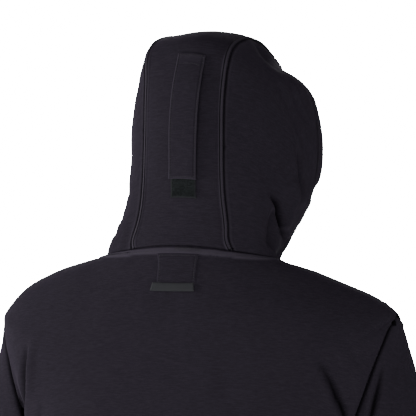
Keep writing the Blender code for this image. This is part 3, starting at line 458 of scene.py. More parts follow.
class Panel:
    """A panel's outside as a fine sheet of points, which folds and seams then move."""

    def __init__(self, node, levels=3, round_cuts=0):
        self.node = node
        self.mesh = smoothed(outer_skin(node), levels)
        if round_cuts:
            self.cut_columns(round_cuts)
        count = len(self.mesh.vertices)
        self.points = places_of(self.mesh, count).copy()
        self.normals = np.array([tuple(entry.vector) for entry in self.mesh.vertex_normals])
        self.faces = [tuple(face.vertices) for face in self.mesh.polygons]
        self.rise = np.zeros(count)
        self.highlight_and_selvedge = np.zeros(count)
        self.shade = np.zeros(count)
        self.edges = self.find_edges()
        self.from_edge = np.min([self.beyond(edge) for edge in self.edges], axis=0)

    def cut_columns(self, cuts):
        """Cuts a band's faces into narrow columns, for the ridges of a rib."""
        columns = bmesh.new()
        columns.from_mesh(self.mesh)
        axis = Vector(RIB_AXES[self.node])
        level = []
        for edge in columns.edges:
            way = (edge.verts[0].co - edge.verts[1].co).normalized()
            if abs(way.dot(axis)) < 0.5:
                level.append(edge)
        bmesh.ops.subdivide_edges(columns, edges=level, cuts=cuts, use_grid_fill=True)
        columns.to_mesh(self.mesh)
        columns.free()

    def find_edges(self):
        """The sheet's edges, as (neighbour, indices in order), one for each neighbour or side."""
        links = collections.defaultdict(list)
        used = collections.Counter()
        meeting = collections.Counter(index for face in self.faces for index in face)
        for face in self.faces:
            for pair in zip(face, face[1:] + face[:1]):
                used[frozenset(pair)] += 1
        for pair, count in used.items():
            if count == 1:
                first, second = pair
                links[first].append(second)
                links[second].append(first)
        edges = []
        left = set(links)
        while left:
            loop = [min(left)]
            left.discard(loop[0])
            while ahead := [other for other in links[loop[-1]] if other in left]:
                loop.append(ahead[0])
                left.discard(ahead[0])
            rough = [self.neighbour_at(index) for index in loop]
            names = []
            shifts = range(-VOTES_EACH_WAY, VOTES_EACH_WAY + 1)
            for i in range(len(loop)):
                near = [rough[(i + shift) % len(loop)] for shift in shifts]
                names.append(max(near, key=near.count))
            turns = [i for i in range(len(loop)) if names[i] != names[i - 1] or meeting[loop[i]] == 1]
            turns = turns or [0]
            for start, stop in zip(turns, turns[1:] + [turns[0] + len(loop)]):
                run = [loop[i % len(loop)] for i in range(start, stop + 1)]
                middle = names[(start + stop) // 2 % len(loop)]
                if len(run) > 2:
                    edges.append((middle, np.array(run)))
        return edges

    def neighbour_at(self, index):
        point = Vector(self.points[index])
        best = ("open", TOUCHING)
        for other, tree in solid_trees.items():
            if other == self.node or self.node not in SEWN_NODES:
                continue
            distance = tree.find_nearest(point)[3]
            if distance is not None and distance < best[1]:
                best = (other, distance)
        return best[0]

    def beyond(self, edge):
        return Chain(self.points[edge[1]]).nearest(self.points)[0]

    def along(self, *neighbours):
        """The edges that meet these neighbours."""
        return [edge for edge in self.edges if edge[0] in neighbours and len(edge[1]) > 3]

    def distance_to(self, *neighbours):
        found = [self.beyond(edge) for edge in self.along(*neighbours)]
        return np.min(found, axis=0) if found else np.full(len(self.points), FAR)

    def raise_band(self, distance, start, end, height, highlight_and_selvedge=0.6):
        """A flat raised band, as topstitching leaves, between two distances from an edge; it gets a painted
        highlight.
        """
        soft = 0.0009
        up = np.clip((distance - start) / soft + 0.5, 0.0, 1.0)
        down = np.clip((end - distance) / soft + 0.5, 0.0, 1.0)
        band = up * up * (3 - 2 * up) * down * down * (3 - 2 * down)
        self.rise += height * band
        self.highlight_and_selvedge = np.maximum(self.highlight_and_selvedge, highlight_and_selvedge * band)

    def groove(self, distance, inset, depth, width):
        """A fine channel at one distance from an edge, as a line of stitching pulls in."""
        self.rise -= depth * bell(distance - inset, width)

    def seams(self, depth=0.0009, width=0.0020):
        """Sinks the sewn edges into a narrow ditch, with painted shade along it."""
        self.rise -= depth * bell(self.from_edge, width)
        self.shade = np.maximum(self.shade, bell(self.from_edge, 0.0014))

    def armhole(self, distance, fullness):
        """The deep ditch of an armhole seam, with painted shade along it, beside which a sleeve's head
        stands full.
        """
        self.rise += fullness * bell(distance - 0.009, 0.009)
        self.rise -= 0.0016 * bell(distance, 0.0038)
        self.shade = np.maximum(self.shade, bell(distance, 0.0030))

    def uneven(self, size, height):
        """Slight waves of no pattern, so that no stretch of cloth is perfectly even."""
        waves = [noise.noise(Vector(point) / size) for point in self.points]
        self.rise += height * np.array(waves)


def bell(distance, width):
    """1 at the line, 0 a width away, with soft shoulders."""
    near = np.clip(1.0 - (distance / width) ** 2, 0.0, 1.0)
    return near * near


# A fold is a row of a table, in millimetres: a line in a picture of the garment from some azimuth,
# right of and above the origin, then its height and how far its sides reach, going along the line.
# The floor of a deep fold gets painted shade.
MILLIMETRES = 1000.0
DEEP_FOLD = -5.0
DEEP_SHADE = 0.95
DEEP_SHADE_SHARE = 0.75


def seen_from(points, azimuth):
    """Where points show in a picture taken from this azimuth."""
    view = np.array(towards(azimuth))
    right = np.array((math.cos(azimuth), math.sin(azimuth), 0.0))
    scale = CAMERA_DISTANCE / (CAMERA_DISTANCE - points @ view)
    return np.stack([(points @ right) * scale, (points[:, 2] - AIM_UP) * scale + AIM_UP], axis=1)


def folded(panel, folds, facing_from=0.05, facing_to=0.35):
    """Raises or sinks the panel's points along each fold, where they face its picture."""
    for azimuth, corners, height, left, right in folds:
        azimuth = math.radians(azimuth)
        place = seen_from(panel.points, azimuth)
        facing = panel.normals @ np.array(towards(azimuth))
        faces = np.clip((facing - facing_from) / (facing_to - facing_from), 0.0, 1.0)
        line = Chain([(x, y, 0.0) for x, y in smooth_line(np.array(corners) / MILLIMETRES)])
        flat = np.column_stack([place, np.zeros(len(place))])
        distance, travelled = line.nearest(flat)
        part = travelled / line.length
        before = line.at(np.maximum(travelled - 0.001, 0.0))
        ahead = line.at(np.minimum(travelled + 0.001, line.length)) - before
        offset = flat - line.at(travelled)
        side = ahead[:, 0] * offset[:, 1] - ahead[:, 1] * offset[:, 0]
        width = np.where(side > 0.0, left, right) / MILLIMETRES
        width *= 0.88 + 0.12 * np.sin(part * 9.0 + line.length * 40.0)
        tapered = np.sin(np.clip(part, 0.02, 0.98) * math.pi) ** 0.6
        panel.rise += height / MILLIMETRES * tapered * bell(distance, width) * faces
        # Painted shade on the floor of a deep fold.
        if height < DEEP_FOLD:
            floor_shade = DEEP_SHADE * tapered * bell(distance, width * DEEP_SHADE_SHARE) * faces
            panel.shade = np.maximum(panel.shade, floor_shade)


def smooth_line(corners, steps=8):
    """A line of points that curves through the corners."""
    corners = np.array(corners, float)
    if len(corners) == 2:
        return corners
    ends = np.vstack([2 * corners[0] - corners[1], corners, 2 * corners[-1] - corners[-2]])
    found = []
    for before, start, end, after in zip(ends, ends[1:], ends[2:], ends[3:]):
        for t in np.arange(steps) / steps:
            found.append(0.5 * (
                2 * start + (end - before) * t + (2 * before - 5 * start + 4 * end - after) * t**2
                + (3 * start - before - 3 * end + after) * t**3
            ))
    return np.array(found + [corners[-1]])


panels = {}


def add_panel(node, levels=3, round_cuts=0):
    panels[node] = Panel(node, levels, round_cuts)
    return panels[node]


# The back: smooth over the shoulders, with a sharp crease and a soft swelling beside each
# armhole, and slack rolls above the hem band. The neck seam's allowance is stitched down under it.
BACK_FOLDS = (
    # azimuth, line, height, reach to its left and to its right
    (198, ((143, -122), (158, -147), (166, -167), (174, -190), (182, -232)), -7.8, 6, 7.5),
    (198, ((137, -128), (151, -155), (160, -186)), 2, 10, 6),
    (198, ((165, -102), (177, -124), (187, -158)), 3.5, 16, 12),
    (198, ((-210, -104), (-214.5, -140), (-216.5, -178), (-212, -210)), -6.8, 5.5, 6.5),
    (198, ((-201, -94), (-207, -123), (-209, -165)), 3.2, 11, 8),
    (198, ((-190, -170), (-192, -210), (-183, -260)), -2.5, 12, 10),
    (198, ((-90, -50), (-30, -66), (50, -60)), 1.2, 22, 20),
    (198, ((60, -90), (30, -130), (35, -180)), -1, 25, 25),
    (180, ((-150, -330), (-90, -360), (-10, -372)), -2.5, 18, 14),
    (180, ((155, -350), (100, -385), (30, -402)), -2.8, 18, 14),
    (180, ((-165, -440), (-80, -470), (10, -478), (70, -468)), 3.2, 14, 18),
    (180, ((-160, -470), (-70, -500), (20, -505)), -3.2, 10, 14),
    (180, ((165, -505), (90, -530), (0, -538)), 3, 16, 12),
    (180, ((160, -535), (80, -556), (-30, -562)), -3.2, 12, 9),
    (180, ((-165, -545), (-100, -566), (-40, -570)), -2.8, 12, 9),
    (180, ((-168, -580), (-90, -588), (60, -590), (160, -580)), 3, 10, 10),
)
NECK_BAND = 0.0085
BAND_START = 0.0012

back = add_panel("back")
folded(back, BACK_FOLDS)
back.uneven(0.045, 0.0010)
neck_line = back.distance_to(*HOOD_PANELS)
back.raise_band(neck_line, BAND_START, NECK_BAND, 0.0010, 1.0)
back.groove(neck_line, NECK_BAND + 0.0012, 0.0006, 0.0018)
back.armhole(back.distance_to(*SLEEVES), 0.0)
back.seams()

# The fronts: drag lines from the shoulders to the zip, a crease beside each armhole, and slack
# rolls above the hem band. Each front edge is turned in and stitched down beside the zip.
FRONT_FOLDS = (
    # azimuth, line, height, reach to its left and to its right
    (0, ((205, -110), (130, -165), (55, -195)), -2.5, 18, 14),
    (0, ((190, -150), (120, -215), (50, -245)), 2.2, 16, 18),
    (0, ((190, -180), (176, -245), (152, -320)), -4.2, 9, 12),
    (0, ((168, -170), (150, -240), (128, -300)), 3, 14, 14),
    (0, ((165, -370), (100, -410), (30, -420)), -2.6, 16, 14),
    (0, ((168, -480), (90, -512), (15, -520)), 3.4, 14, 16),
    (0, ((165, -510), (85, -540), (15, -548)), -3.2, 10, 12),
    (0, ((170, -575), (90, -588), (20, -584)), 3, 10, 10),
    (0, ((-200, -115), (-140, -175), (-70, -210)), -2.2, 16, 18),
    (0, ((-195, -160), (-130, -230), (-60, -270)), 2.4, 18, 16),
    (0, ((-192, -190), (-178, -250), (-150, -330)), -4, 12, 9),
    (0, ((-166, -180), (-150, -255), (-120, -310)), 2.8, 14, 14),
    (0, ((-165, -390), (-90, -425), (-20, -440)), -2.8, 14, 16),
    (0, ((-168, -460), (-100, -492), (-20, -505)), 3, 16, 13),
    (0, ((-165, -525), (-80, -550), (-15, -556)), -3.4, 12, 10),
    (0, ((-170, -578), (-100, -586), (-20, -588)), 3, 10, 10),
)
FRONT_STITCH_INSET = 0.0065
FRONT_NECK_BAND = 0.0060

for node in FRONTS:
    front = add_panel(node)
    folded(front, FRONT_FOLDS)
    front.uneven(0.045, 0.0010)
    front.raise_band(front.distance_to(*HOOD_PANELS), BAND_START, FRONT_NECK_BAND, 0.0006)
    front.armhole(front.distance_to(*SLEEVES), 0.0)
    front.groove(front.distance_to("open"), FRONT_STITCH_INSET, 0.0006, 0.0018)
    front.seams()

# The sleeves: a crease down the back of each upper arm, folds round the elbow's bend, and the
# cloth's extra length stacked above the cuff.
SLEEVE_FOLDS = (
    # azimuth, line, height, reach to its left and to its right
    (198, ((220, -128), (214, -155), (205, -190), (199, -220)), -6.2, 5.5, 7),
    (198, ((209, -120), (203, -160), (196, -200)), 2.2, 8, 8),
    (180, ((244, -190), (262, -240), (270, -290)), -3, 12, 10),
    (180, ((-240, -180), (-258, -235), (-268, -300)), -3, 10, 12),
    (90, ((70, -335), (15, -362), (-50, -352)), -3.5, 11, 9),
    (90, ((62, -372), (0, -392), (-70, -376)), 3.2, 12, 10),
    (90, ((45, -402), (-20, -418), (-85, -398)), -3.8, 10, 12),
    (90, ((20, -455), (-50, -465), (-115, -440)), -2.4, 12, 10),
    (90, ((-10, -515), (-80, -528), (-145, -500)), 3.2, 10, 10),
    (90, ((-25, -545), (-100, -553), (-165, -528)), -3.4, 8, 8),
    (90, ((-45, -572), (-110, -578), (-175, -552)), 2.6, 8, 7),
    (270, ((-72, -325), (-10, -350), (55, -342)), -3.4, 10, 11),
    (270, ((-60, -362), (0, -384), (70, -372)), 3.4, 11, 11),
    (270, ((-45, -395), (25, -412), (90, -400)), -3.6, 12, 10),
    (270, ((-15, -470), (60, -480), (125, -452)), -2.6, 11, 11),
    (270, ((10, -520), (85, -532), (150, -505)), 3, 11, 9),
    (270, ((28, -550), (105, -556), (168, -534)), -3.4, 8, 8),
    (270, ((50, -574), (115, -580), (178, -556)), 2.6, 7, 8),
    (0, ((232, -330), (268, -350), (315, -342)), -3.4, 10, 9),
    (0, ((236, -375), (275, -392), (322, -380)), 3, 10, 10),
    (0, ((240, -420), (285, -432), (330, -418)), -3.4, 9, 10),
    (0, ((250, -520), (295, -528), (340, -512)), 2.8, 9, 9),
    (0, ((-230, -340), (-272, -356), (-318, -344)), -3.4, 9, 10),
    (0, ((-238, -385), (-280, -400), (-324, -392)), 3, 10, 10),
    (0, ((-242, -428), (-288, -440), (-332, -424)), -3.2, 10, 9),
    (0, ((-252, -512), (-298, -524), (-342, -510)), 3, 9, 9),
)
SLEEVE_HEAD = 0.0007

for node in SLEEVES:
    sleeve = add_panel(node)
    folded(sleeve, SLEEVE_FOLDS)
    sleeve.uneven(0.035, 0.0009)
    sleeve.armhole(sleeve.distance_to("back", *FRONTS), SLEEVE_HEAD)
    sleeve.seams()

# The hood: a centre panel between two side panels, up and turned to its right. Its right side has
# one deep fold at the neck, an upright fold behind the face opening and a crease above it. Its seams
# are topstitched, and the face opening has a stitched hem.
HOOD_FOLDS = (
    # azimuth, line, height, reach to its left and to its right
    (198, ((83.5, 82), (90, 64), (97.5, 45), (104, 20)), -12.5, 8.5, 6.4),
    (198, ((82, 80), (87, 58), (94, 36)), 2.2, 6, 6),
    (198, ((112, 134), (113, 95), (111, 55)), 3.4, 5, 10),
    (198, ((117.5, 136), (118, 96), (116.5, 56)), -3.6, 6, 4.5),
    (198, ((105, 222), (116, 190), (129, 162)), -3, 6, 7),
    (198, ((119, 213), (130, 186), (136, 160)), 2.2, 6, 7),
    (198, ((-88, 52), (-103, 34), (-112, 8)), 2.4, 9, 7),
    (198, ((-82, 50), (-88, 28), (-93, 6)), -2.2, 6, 8),
    (90, ((65, 30), (10, 46), (-50, 26)), -4, 10, 10),
    (90, ((60, 78), (0, 98), (-60, 82)), -3, 14, 13),
    (90, ((55, 55), (0, 70), (-58, 52)), 2.8, 12, 10),
    (90, ((-66, 220), (-82, 145), (-76, 70)), 3, 13, 13),
    (90, ((50, 225), (12, 170), (-22, 105)), -2.6, 18, 16),
    (270, ((-30, 225), (0, 175), (28, 120)), -2.4, 16, 18),
    (270, ((-60, 71), (10, 76), (90, 72)), 5.6, 34, 22),
    (270, ((-20, 200), (30, 214), (80, 205)), 1.8, 16, 16),
    (0, ((20, -20), (60, -4), (92, 16)), -2.6, 10, 10),
    (0, ((-25, -24), (-62, -8), (-95, 10)), -2.6, 10, 10),
)
SEAM_BAND = 0.0062
SIDE_BAND = 0.0040
FACE_HEM = 0.022

for node in HOOD_PANELS:
    hood = add_panel(node)
    folded(hood, HOOD_FOLDS, 0.0, 0.15)
    hood.uneven(0.040, 0.0008)
    face = hood.distance_to("open")
    if node == "hood_centre":
        seams = hood.distance_to(*HOOD_SIDES)
        hood.raise_band(seams, BAND_START, SEAM_BAND, 0.0011, 0.75)
        hood.groove(seams, SEAM_BAND + 0.0010, 0.0005, 0.0016)
    else:
        hood.raise_band(hood.distance_to("hood_centre"), BAND_START, SIDE_BAND, 0.0005, 0.20)
        hood.groove(hood.distance_to("back", *FRONTS), SIDE_BAND, 0.0004, 0.0016)
    hood.groove(face, FACE_HEM, 0.0018, 0.0024)
    # Painted shade along the face hem's stitch line.
    hood.shade = np.maximum(hood.shade, 0.60 * bell(face - FACE_HEM, 0.0018))
    hood.rise -= 0.0010 * bell(face, 0.0022)
    hood.seams()

# The hem band and the cuffs: 2 by 2 rib in the colour of the fleece, folded double at its lower
# edge and drawn in under the slack cloth above. Its ridges run up from the fold.
RIB_AXES = {
    "hem_band": (0.0, 0.0, 1.0),
    "cuff_left": (0.15, -0.2, -1.0),
    "cuff_right": (-0.15, -0.2, -1.0),
}
RIB_RELIEF = 0.0005
RIB_SHOULDER = 1.8
RIB_FADE = 0.004

for node, cuts in (("hem_band", 15), ("cuff_left", 7), ("cuff_right", 7)):
    band = add_panel(node, 1, cuts)
    band.round_rib = np.zeros(len(band.points))
    nearest = np.full(len(band.points), FAR)
    start = 0.0
    for edge in band.along("back", *FRONTS, *SLEEVES):
        chain = Chain(band.points[edge[1]])
        distance, travelled = chain.nearest(band.points)
        band.round_rib = np.where(distance < nearest, travelled + start, band.round_rib)
        nearest = np.minimum(nearest, distance)
        start += chain.length
    wave = np.tanh(RIB_SHOULDER * np.sin(band.round_rib * 2 * math.pi / RIB_PITCH))
    band.rise += RIB_RELIEF * wave * np.clip(nearest / RIB_FADE, 0.0, 1.0)
    band.uneven(0.030, 0.0007)
    band.seams(0.0007)

# The strap down the back of the hood: two layers of the fleece, turned in and stitched all round,
# and sewn down in a box at its top.
STRAP_STITCH_INSET = 0.0026
STRAP_BOX = 0.0145
TURNED_EDGE = 0.0014

strap = add_panel("hood_strap")
strap.rise -= 0.0006 * bell(strap.from_edge, TURNED_EDGE)
strap.groove(strap.from_edge, STRAP_STITCH_INSET, 0.0006, 0.0012)
strap_down = strap.points[:, 2].max() - strap.points[:, 2]
strap.groove(strap_down, STRAP_BOX, 0.0007, 0.0014)
# Painted highlight along the strap's edges and across its box.
strap.highlight_and_selvedge = np.maximum(0.55 * bell(strap.from_edge, 0.0028), 0.30 * bell(strap_down, STRAP_BOX))

# The patch under the strap's end: a woven base with selvedges, its middle a dense fuzz of loops.
SELVEDGE = 0.0020
PATCH_BASE = (0.0085, 0.0110, 0.0110, 1.0)
PATCH_PILE = (0.0420, 0.0465, 0.0500, 1.0)
PATCH_EDGE = (0.0300, 0.0310, 0.0350, 1.0)


def patch_paint():
    paint = Paint("hook_and_loop", Roughness=0.85, Specular_IOR_Level=0.10)
    speck = paint.noise(paint.place(), 1600.0, 3.0, 0.7).stepped(0.42, 0.62)
    colour = paint.mix(speck, PATCH_BASE, PATCH_PILE)
    paint.set("Base Color", paint.mix(paint.attribute("highlight_and_selvedge"), colour, PATCH_EDGE))
    paint.raised(speck, 0.0005)
    return paint.material


hook_and_loop = patch_paint()
patch = add_panel("hood_patch")
patch.rise -= 0.0005 * bell(patch.from_edge, TURNED_EDGE)
# The selvedge's own lighter colour, kept in the same attribute as the painted highlights.
patch.highlight_and_selvedge = np.clip((SELVEDGE - patch.from_edge) / 0.0006 + 0.5, 0.0, 1.0)

# The tab at the back of the neck, of the fleece, with its edges turned in, and the small label of
# grey rubber sewn over its end. The label is left bare, with a groove round its rim.
LABEL_DARK = (0.0235, 0.0240, 0.0275, 1.0)
LABEL_LIGHT = (0.0305, 0.0310, 0.0345, 1.0)
LABEL_GROOVE = 0.0015


def label_paint():
    paint = Paint("grey_label", Specular_IOR_Level=0.15)
    grain = paint.noise(paint.place(), 1500.0, 3.0, 0.6)
    cloudy = paint.noise(paint.place(), 120.0, 2.0)
    paint.set("Base Color", paint.mix(grain * 0.5 + cloudy * 0.5, LABEL_DARK, LABEL_LIGHT))
    paint.set("Roughness", grain * 0.25 + 0.50)
    paint.raised(grain, 0.00025)
    return paint.material


grey_label = label_paint()
tab = add_panel("neck_tab")
tab.rise -= 0.0005 * bell(tab.from_edge, TURNED_EDGE)
tab.groove(tab.from_edge, STRAP_STITCH_INSET, 0.0004, 0.0012)
# Painted highlight along the tab's edges.
tab.highlight_and_selvedge = 0.22 * bell(tab.from_edge, 0.0026)
label = add_panel("neck_label")
label.rise -= 0.0005 * bell(label.from_edge, 0.0010)
label.groove(label.from_edge, LABEL_GROOVE, 0.0003, 0.0006)

# The zip tapes: a fine black twill, woven in two narrow strips that are sewn just inside the front
# edges and carry the teeth.
TAPE_DARK = (0.0052, 0.0052, 0.0060, 1.0)
TAPE_LIGHT = (0.0130, 0.0130, 0.0145, 1.0)
TWILL_PITCH = 0.0009


def tape_paint():
    paint = Paint("zip_tape", Roughness=0.78)
    split = paint.node("ShaderNodeSeparateXYZ", {}, {0: paint.place()})
    slant = split + Value(paint, split.socket.node.outputs["Z"])
    twill = (slant * (2 * math.pi / TWILL_PITCH)).math("SINE") * 0.5 + 0.5
    fibre = paint.noise(paint.place(), 2500.0)
    paint.set("Base Color", paint.mix(twill * 0.7 + fibre * 0.3, TAPE_DARK, TAPE_LIGHT))
    paint.raised(twill + fibre * 0.3, 0.0002)
    return paint.material


zip_tape = tape_paint()
for node in ("zip_tape_left", "zip_tape_right"):
    add_panel(node, 2)

# All the cloth pieces. Neighbouring edges are sewn: brought together on the line halfway between
# them. Each piece is a thin sheet, thicker where a hem doubles it.
CLOTH = 0.0016
HEM_CLOTH = 0.0034
SEWN_REACH = 0.0045
SEWN_GAP = 0.0018
BESIDE_SHARE = 1.3
BESIDE_MORE = 0.0004


def nearest_edge(places, chains):
    """The nearest points on some edges, with their distances."""
    nearest = np.full(len(places), FAR)
    there = places.copy()
    for chain in chains:
        distance, travelled = chain.nearest(places)
        closer = distance < nearest
        nearest = np.where(closer, distance, nearest)
        there = np.where(closer[:, None], chain.at(travelled), there)
    return nearest, there


def sewn_together():
    """Brings each panel's edge points and the edges beside them to the same places."""
    chains = {}
    for node in SEWN_NODES:
        chains[node] = [Chain(panels[node].moved[line]) for _, line in panels[node].edges]
    for node in SEWN_NODES:
        panel = panels[node]
        for _, indices in panel.edges:
            here = panel.moved[indices]
            found = [nearest_edge(here, chains[other]) for other in SEWN_NODES if other != node]
            closest = np.min([distance for distance, _ in found], axis=0)
            total = here.copy()
            count = np.ones(len(here))
            for distance, there in found:
                beside = (distance < SEWN_REACH) & (distance < closest * BESIDE_SHARE + BESIDE_MORE)
                total += np.where(beside[:, None], there, 0.0)
                count += beside
            panel.sewn[indices] = total / count[:, None]
    finished = []
    for node in SEWN_NODES:
        panel = panels[node]
        for _, indices in panel.edges:
            distance, there = nearest_edge(panel.sewn[indices], finished)
            near = distance < SEWN_GAP
            panel.sewn[indices[near]] = there[near]
        finished += [Chain(panel.sewn[line]) for _, line in panel.edges]


def store(mesh, name, values):
    layer = mesh.attributes.new(name, "FLOAT", "POINT")
    layer.data.foreach_set("value", values.astype(np.float32))


def cloth_piece(panel, material, thickness):
    """The finished piece: the panel's moved points as a sheet with the cloth's thickness."""
    mesh = panel.mesh
    mesh.vertices.foreach_set("co", panel.sewn.ravel())
    mesh.update()
    mesh.polygons.foreach_set("use_smooth", [True] * len(mesh.polygons))
    mesh.materials.clear()
    mesh.materials.append(material)
    mesh.name = f"{panel.node}_cloth"
    store(mesh, "along", panel.points[:, 2] - 0.4 * np.abs(panel.points[:, 1]))
    store(mesh, "seam_shade", panel.shade)
    store(mesh, "highlight_and_selvedge", panel.highlight_and_selvedge)
    piece = placed(mesh.name, mesh)
    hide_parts(panel.node)
    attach(piece, "garment")
    wall = piece.modifiers.new("cloth_thickness", "SOLIDIFY")
    wall.thickness = thickness
    wall.offset = -1.0
    wall.use_even_offset = False
    panel.tree = BVHTree.FromPolygons([tuple(point) for point in panel.sewn], panel.faces)
    return piece


PIECES = (
    # node, material, slot, thickness, the cut's width, length and area, how it is held
    ("back", fleece, "black_fleece", CLOTH, 0.60, 0.72, 0.316, "draped"),
    ("front_left", fleece, "black_fleece", CLOTH, 0.32, 0.68, 0.153, "draped"),
    ("front_right", fleece, "black_fleece", CLOTH, 0.32, 0.68, 0.152, "draped"),
    ("sleeve_left", fleece, "black_fleece", CLOTH, 0.46, 0.57, 0.170, "draped"),
    ("sleeve_right", fleece, "black_fleece", CLOTH, 0.46, 0.57, 0.170, "draped"),
    ("hood_centre", fleece, "black_fleece", CLOTH, 0.120, 0.425, 0.0465, "draped"),
    ("hood_side_left", fleece, "black_fleece", CLOTH, 0.27, 0.36, 0.0612, "draped"),
    ("hood_side_right", fleece, "black_fleece", CLOTH, 0.27, 0.36, 0.0604, "draped"),
    ("hem_band", rib, "black_rib", CLOTH, 0.93, 0.065, 0.060, "stretched"),
    ("cuff_left", rib, "black_rib", CLOTH, 0.232, 0.064, 0.0147, "stretched"),
    ("cuff_right", rib, "black_rib", CLOTH, 0.232, 0.064, 0.0147, "stretched"),
    ("hood_strap", fleece, "black_fleece", 0.0026, 0.033, 0.151, None, "laid"),
    ("hood_patch", hook_and_loop, "hook_and_loop", 0.0014, 0.031, 0.038, None, "laid"),
    ("neck_tab", fleece, "black_fleece", 0.0011, 0.047, 0.043, None, "laid"),
    ("neck_label", grey_label, "grey_label", 0.0013, None, None, None, None),
    ("zip_tape_left", zip_tape, "zip_tape", 0.0010, 0.0117, 0.66, None, "laid"),
    ("zip_tape_right", zip_tape, "zip_tape", 0.0010, 0.0117, 0.66, None, "laid"),
)

for panel in panels.values():
    panel.moved = panel.points + panel.normals * panel.rise[:, None]
    panel.sewn = panel.moved.copy()
sewn_together()
for node, material, slot, thickness, width, length, area, held in PIECES:
    panel = panels[node]
    piece = cloth_piece(panel, material, thickness)
    if material is rib:
        store(panel.mesh, "round_rib", panel.round_rib)
    if node in HOOD_PANELS:
        hem = piece.vertex_groups.new(name="hem")
        for index, distance in enumerate(panel.distance_to("open")):
            hem.add([index], 1.0 if distance < FACE_HEM else 0.0, "REPLACE")
        wall = piece.modifiers["cloth_thickness"]
        wall.thickness = HEM_CLOTH
        wall.vertex_group = "hem"
        wall.thickness_vertex_group = CLOTH / HEM_CLOTH

# The sewing: one small pillow of black thread for each stitch that shows, along the hood's seams,
# the face hem, the neck band, the front edges, the rib seams, the strap, the tab and the label.
THREAD_COLOUR = (0.0165, 0.0150, 0.0195, 1.0)
THREAD_SHADE = (0.0060, 0.0055, 0.0075, 1.0)
STITCH_PITCH = 0.0030
STITCH_SIZE = (0.00115, 0.00032, 0.00030)
STITCH_LIFT = 0.0001
SEAM_STITCH_INSET = 0.0018
BAND_STITCH_INSET = SEAM_BAND - 0.0004
NECK_STITCH_INSET = NECK_BAND - 0.0012
FRONT_NECK_INSET = 0.0050
RIB_STITCH_INSET = 0.0026


def thread_paint():
    paint = Paint("sewing_thread", Roughness=0.55)
    ply = paint.noise(paint.place(), 2200.0, 2.0)
    paint.set("Base Color", paint.mix(ply, THREAD_SHADE, THREAD_COLOUR))
    paint.raised(ply, 0.0001)
    return paint.material


thread = thread_paint()


def repeated(name, template, frames, material):
    """One piece made of a copy of the template at each frame."""
    bmesh.ops.triangulate(template, faces=template.faces[:])
    template.verts.index_update()
    shape = np.array([tuple(vertex.co) for vertex in template.verts])
    faces = np.array([[vertex.index for vertex in face.verts] for face in template.faces])
    template.free()
    points = np.concatenate([shape @ copy[:, :3].T + copy[:, 3] for copy in frames])
    counts = np.arange(len(frames))[:, None, None] * len(shape)
    mesh = bpy.data.meshes.new(name)
    mesh.from_pydata(points.tolist(), [], (faces[None] + counts).reshape(-1, 3).tolist())
    mesh.polygons.foreach_set("use_smooth", [True] * len(mesh.polygons))
    mesh.materials.append(material)
    piece = placed(name, mesh)
    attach(piece, "garment")
    return piece


def frame_at(place, first, second, third):
    """How one copy stands: its three axes and its place, as columns."""
    return np.column_stack([first, second, third, place])


def stitch_frames(panel, line, inset, pitch=STITCH_PITCH, trim=0.0, across=False, keep=None):
    """A frame for each stitch of a line at this inset from one of the panel's edges."""
    chain = Chain(panel.sewn[line])
    travelled = np.arange(trim + pitch / 2, chain.length - trim, pitch)

    def off_cloth(side):
        """How far off the cloth a few of the stitches lie, on this side of the edge."""
        gap = 0.0
        for s in travelled[:: max(1, len(travelled) // 9)]:
            place, along, normal = stitch_base(panel, chain, s)
            gap += panel.tree.find_nearest(place + np.cross(normal, along) * side * inset)[3]
        return gap

    side = min((1.0, -1.0), key=off_cloth)
    frames = []
    for s in travelled:
        place, along, normal = stitch_base(panel, chain, s)
        inward = np.cross(normal, along) * side
        found, facing, _, _ = panel.tree.find_nearest(place + inward * inset)
        facing = np.array(facing)
        if keep and not keep(np.array(found)):
            continue
        along = unit(along - facing * (along @ facing))
        inward = np.cross(facing, along)
        if across:
            along, inward = inward, along
        frames.append(frame_at(np.array(found) + facing * STITCH_LIFT, along, inward, facing))
    return frames


def stitch_base(panel, chain, travelled):
    """A place on an edge, with the edge's direction and the cloth's normal there."""
    place = chain.at(travelled)
    ahead = chain.at(min(travelled + STITCH_PITCH / 2, chain.length))
    before = chain.at(max(travelled - STITCH_PITCH / 2, 0.0))
    return place, unit(ahead - before), np.array(panel.tree.find_nearest(place)[1])


def pillow(size):
    """One stitch: a small rounded pillow of thread."""
    stitch = bmesh.new()
    bmesh.ops.create_icosphere(stitch, subdivisions=1, radius=1.0)
    bmesh.ops.scale(stitch, vec=size, verts=stitch.verts)
    return stitch


def stitched(name, frames, size=STITCH_SIZE):
    return repeated(name, pillow(size), frames, thread)


def stitch_rows(nodes, inset, neighbours, **options):
    """The stitches at this inset from where each of these panels meets its neighbours."""
    frames = []
    for node in nodes:
        for _, line in panels[node].along(*neighbours):
            frames += stitch_frames(panels[node], line, inset, **options)
    return frames


# The seam allowances: the raw edges of two panels, overlocked together in dark thread and lying
# flat inside the garment along each of the main seams. Their colour is partly painted shade.
ALLOWANCE_STEP = 0.0040
ALLOWANCE_THICKNESS = 0.0006
ALLOWANCES = (
    # name, reach to each side of the seam, depth inside the cloth, panels, their neighbours
    ("hood_seam_allowance", 0.0050, 0.0022, ("hood_centre",), HOOD_SIDES),
    ("neck_seam_allowance", 0.0050, 0.0022, ("back", *FRONTS), HOOD_PANELS),
    ("armhole_allowance", 0.0030, 0.0030, ("back", *FRONTS), SLEEVES),
    ("shoulder_allowance", 0.0030, 0.0030, ("back",), FRONTS),
)


def overlock_paint():
    paint = Paint("overlocked_edge", Roughness=0.95, Specular_IOR_Level=0.05)
    ply = paint.noise(paint.place(), 1200.0, 2.0)
    # Dark thread mixed with the painted shade colour: partly the real allowance, partly painted shade in
    # the seam ditches.
    paint.set("Base Color", paint.mix(ply, PAINTED_SHADE_COLOUR, THREAD_SHADE))
    return paint.material


overlock = overlock_paint()


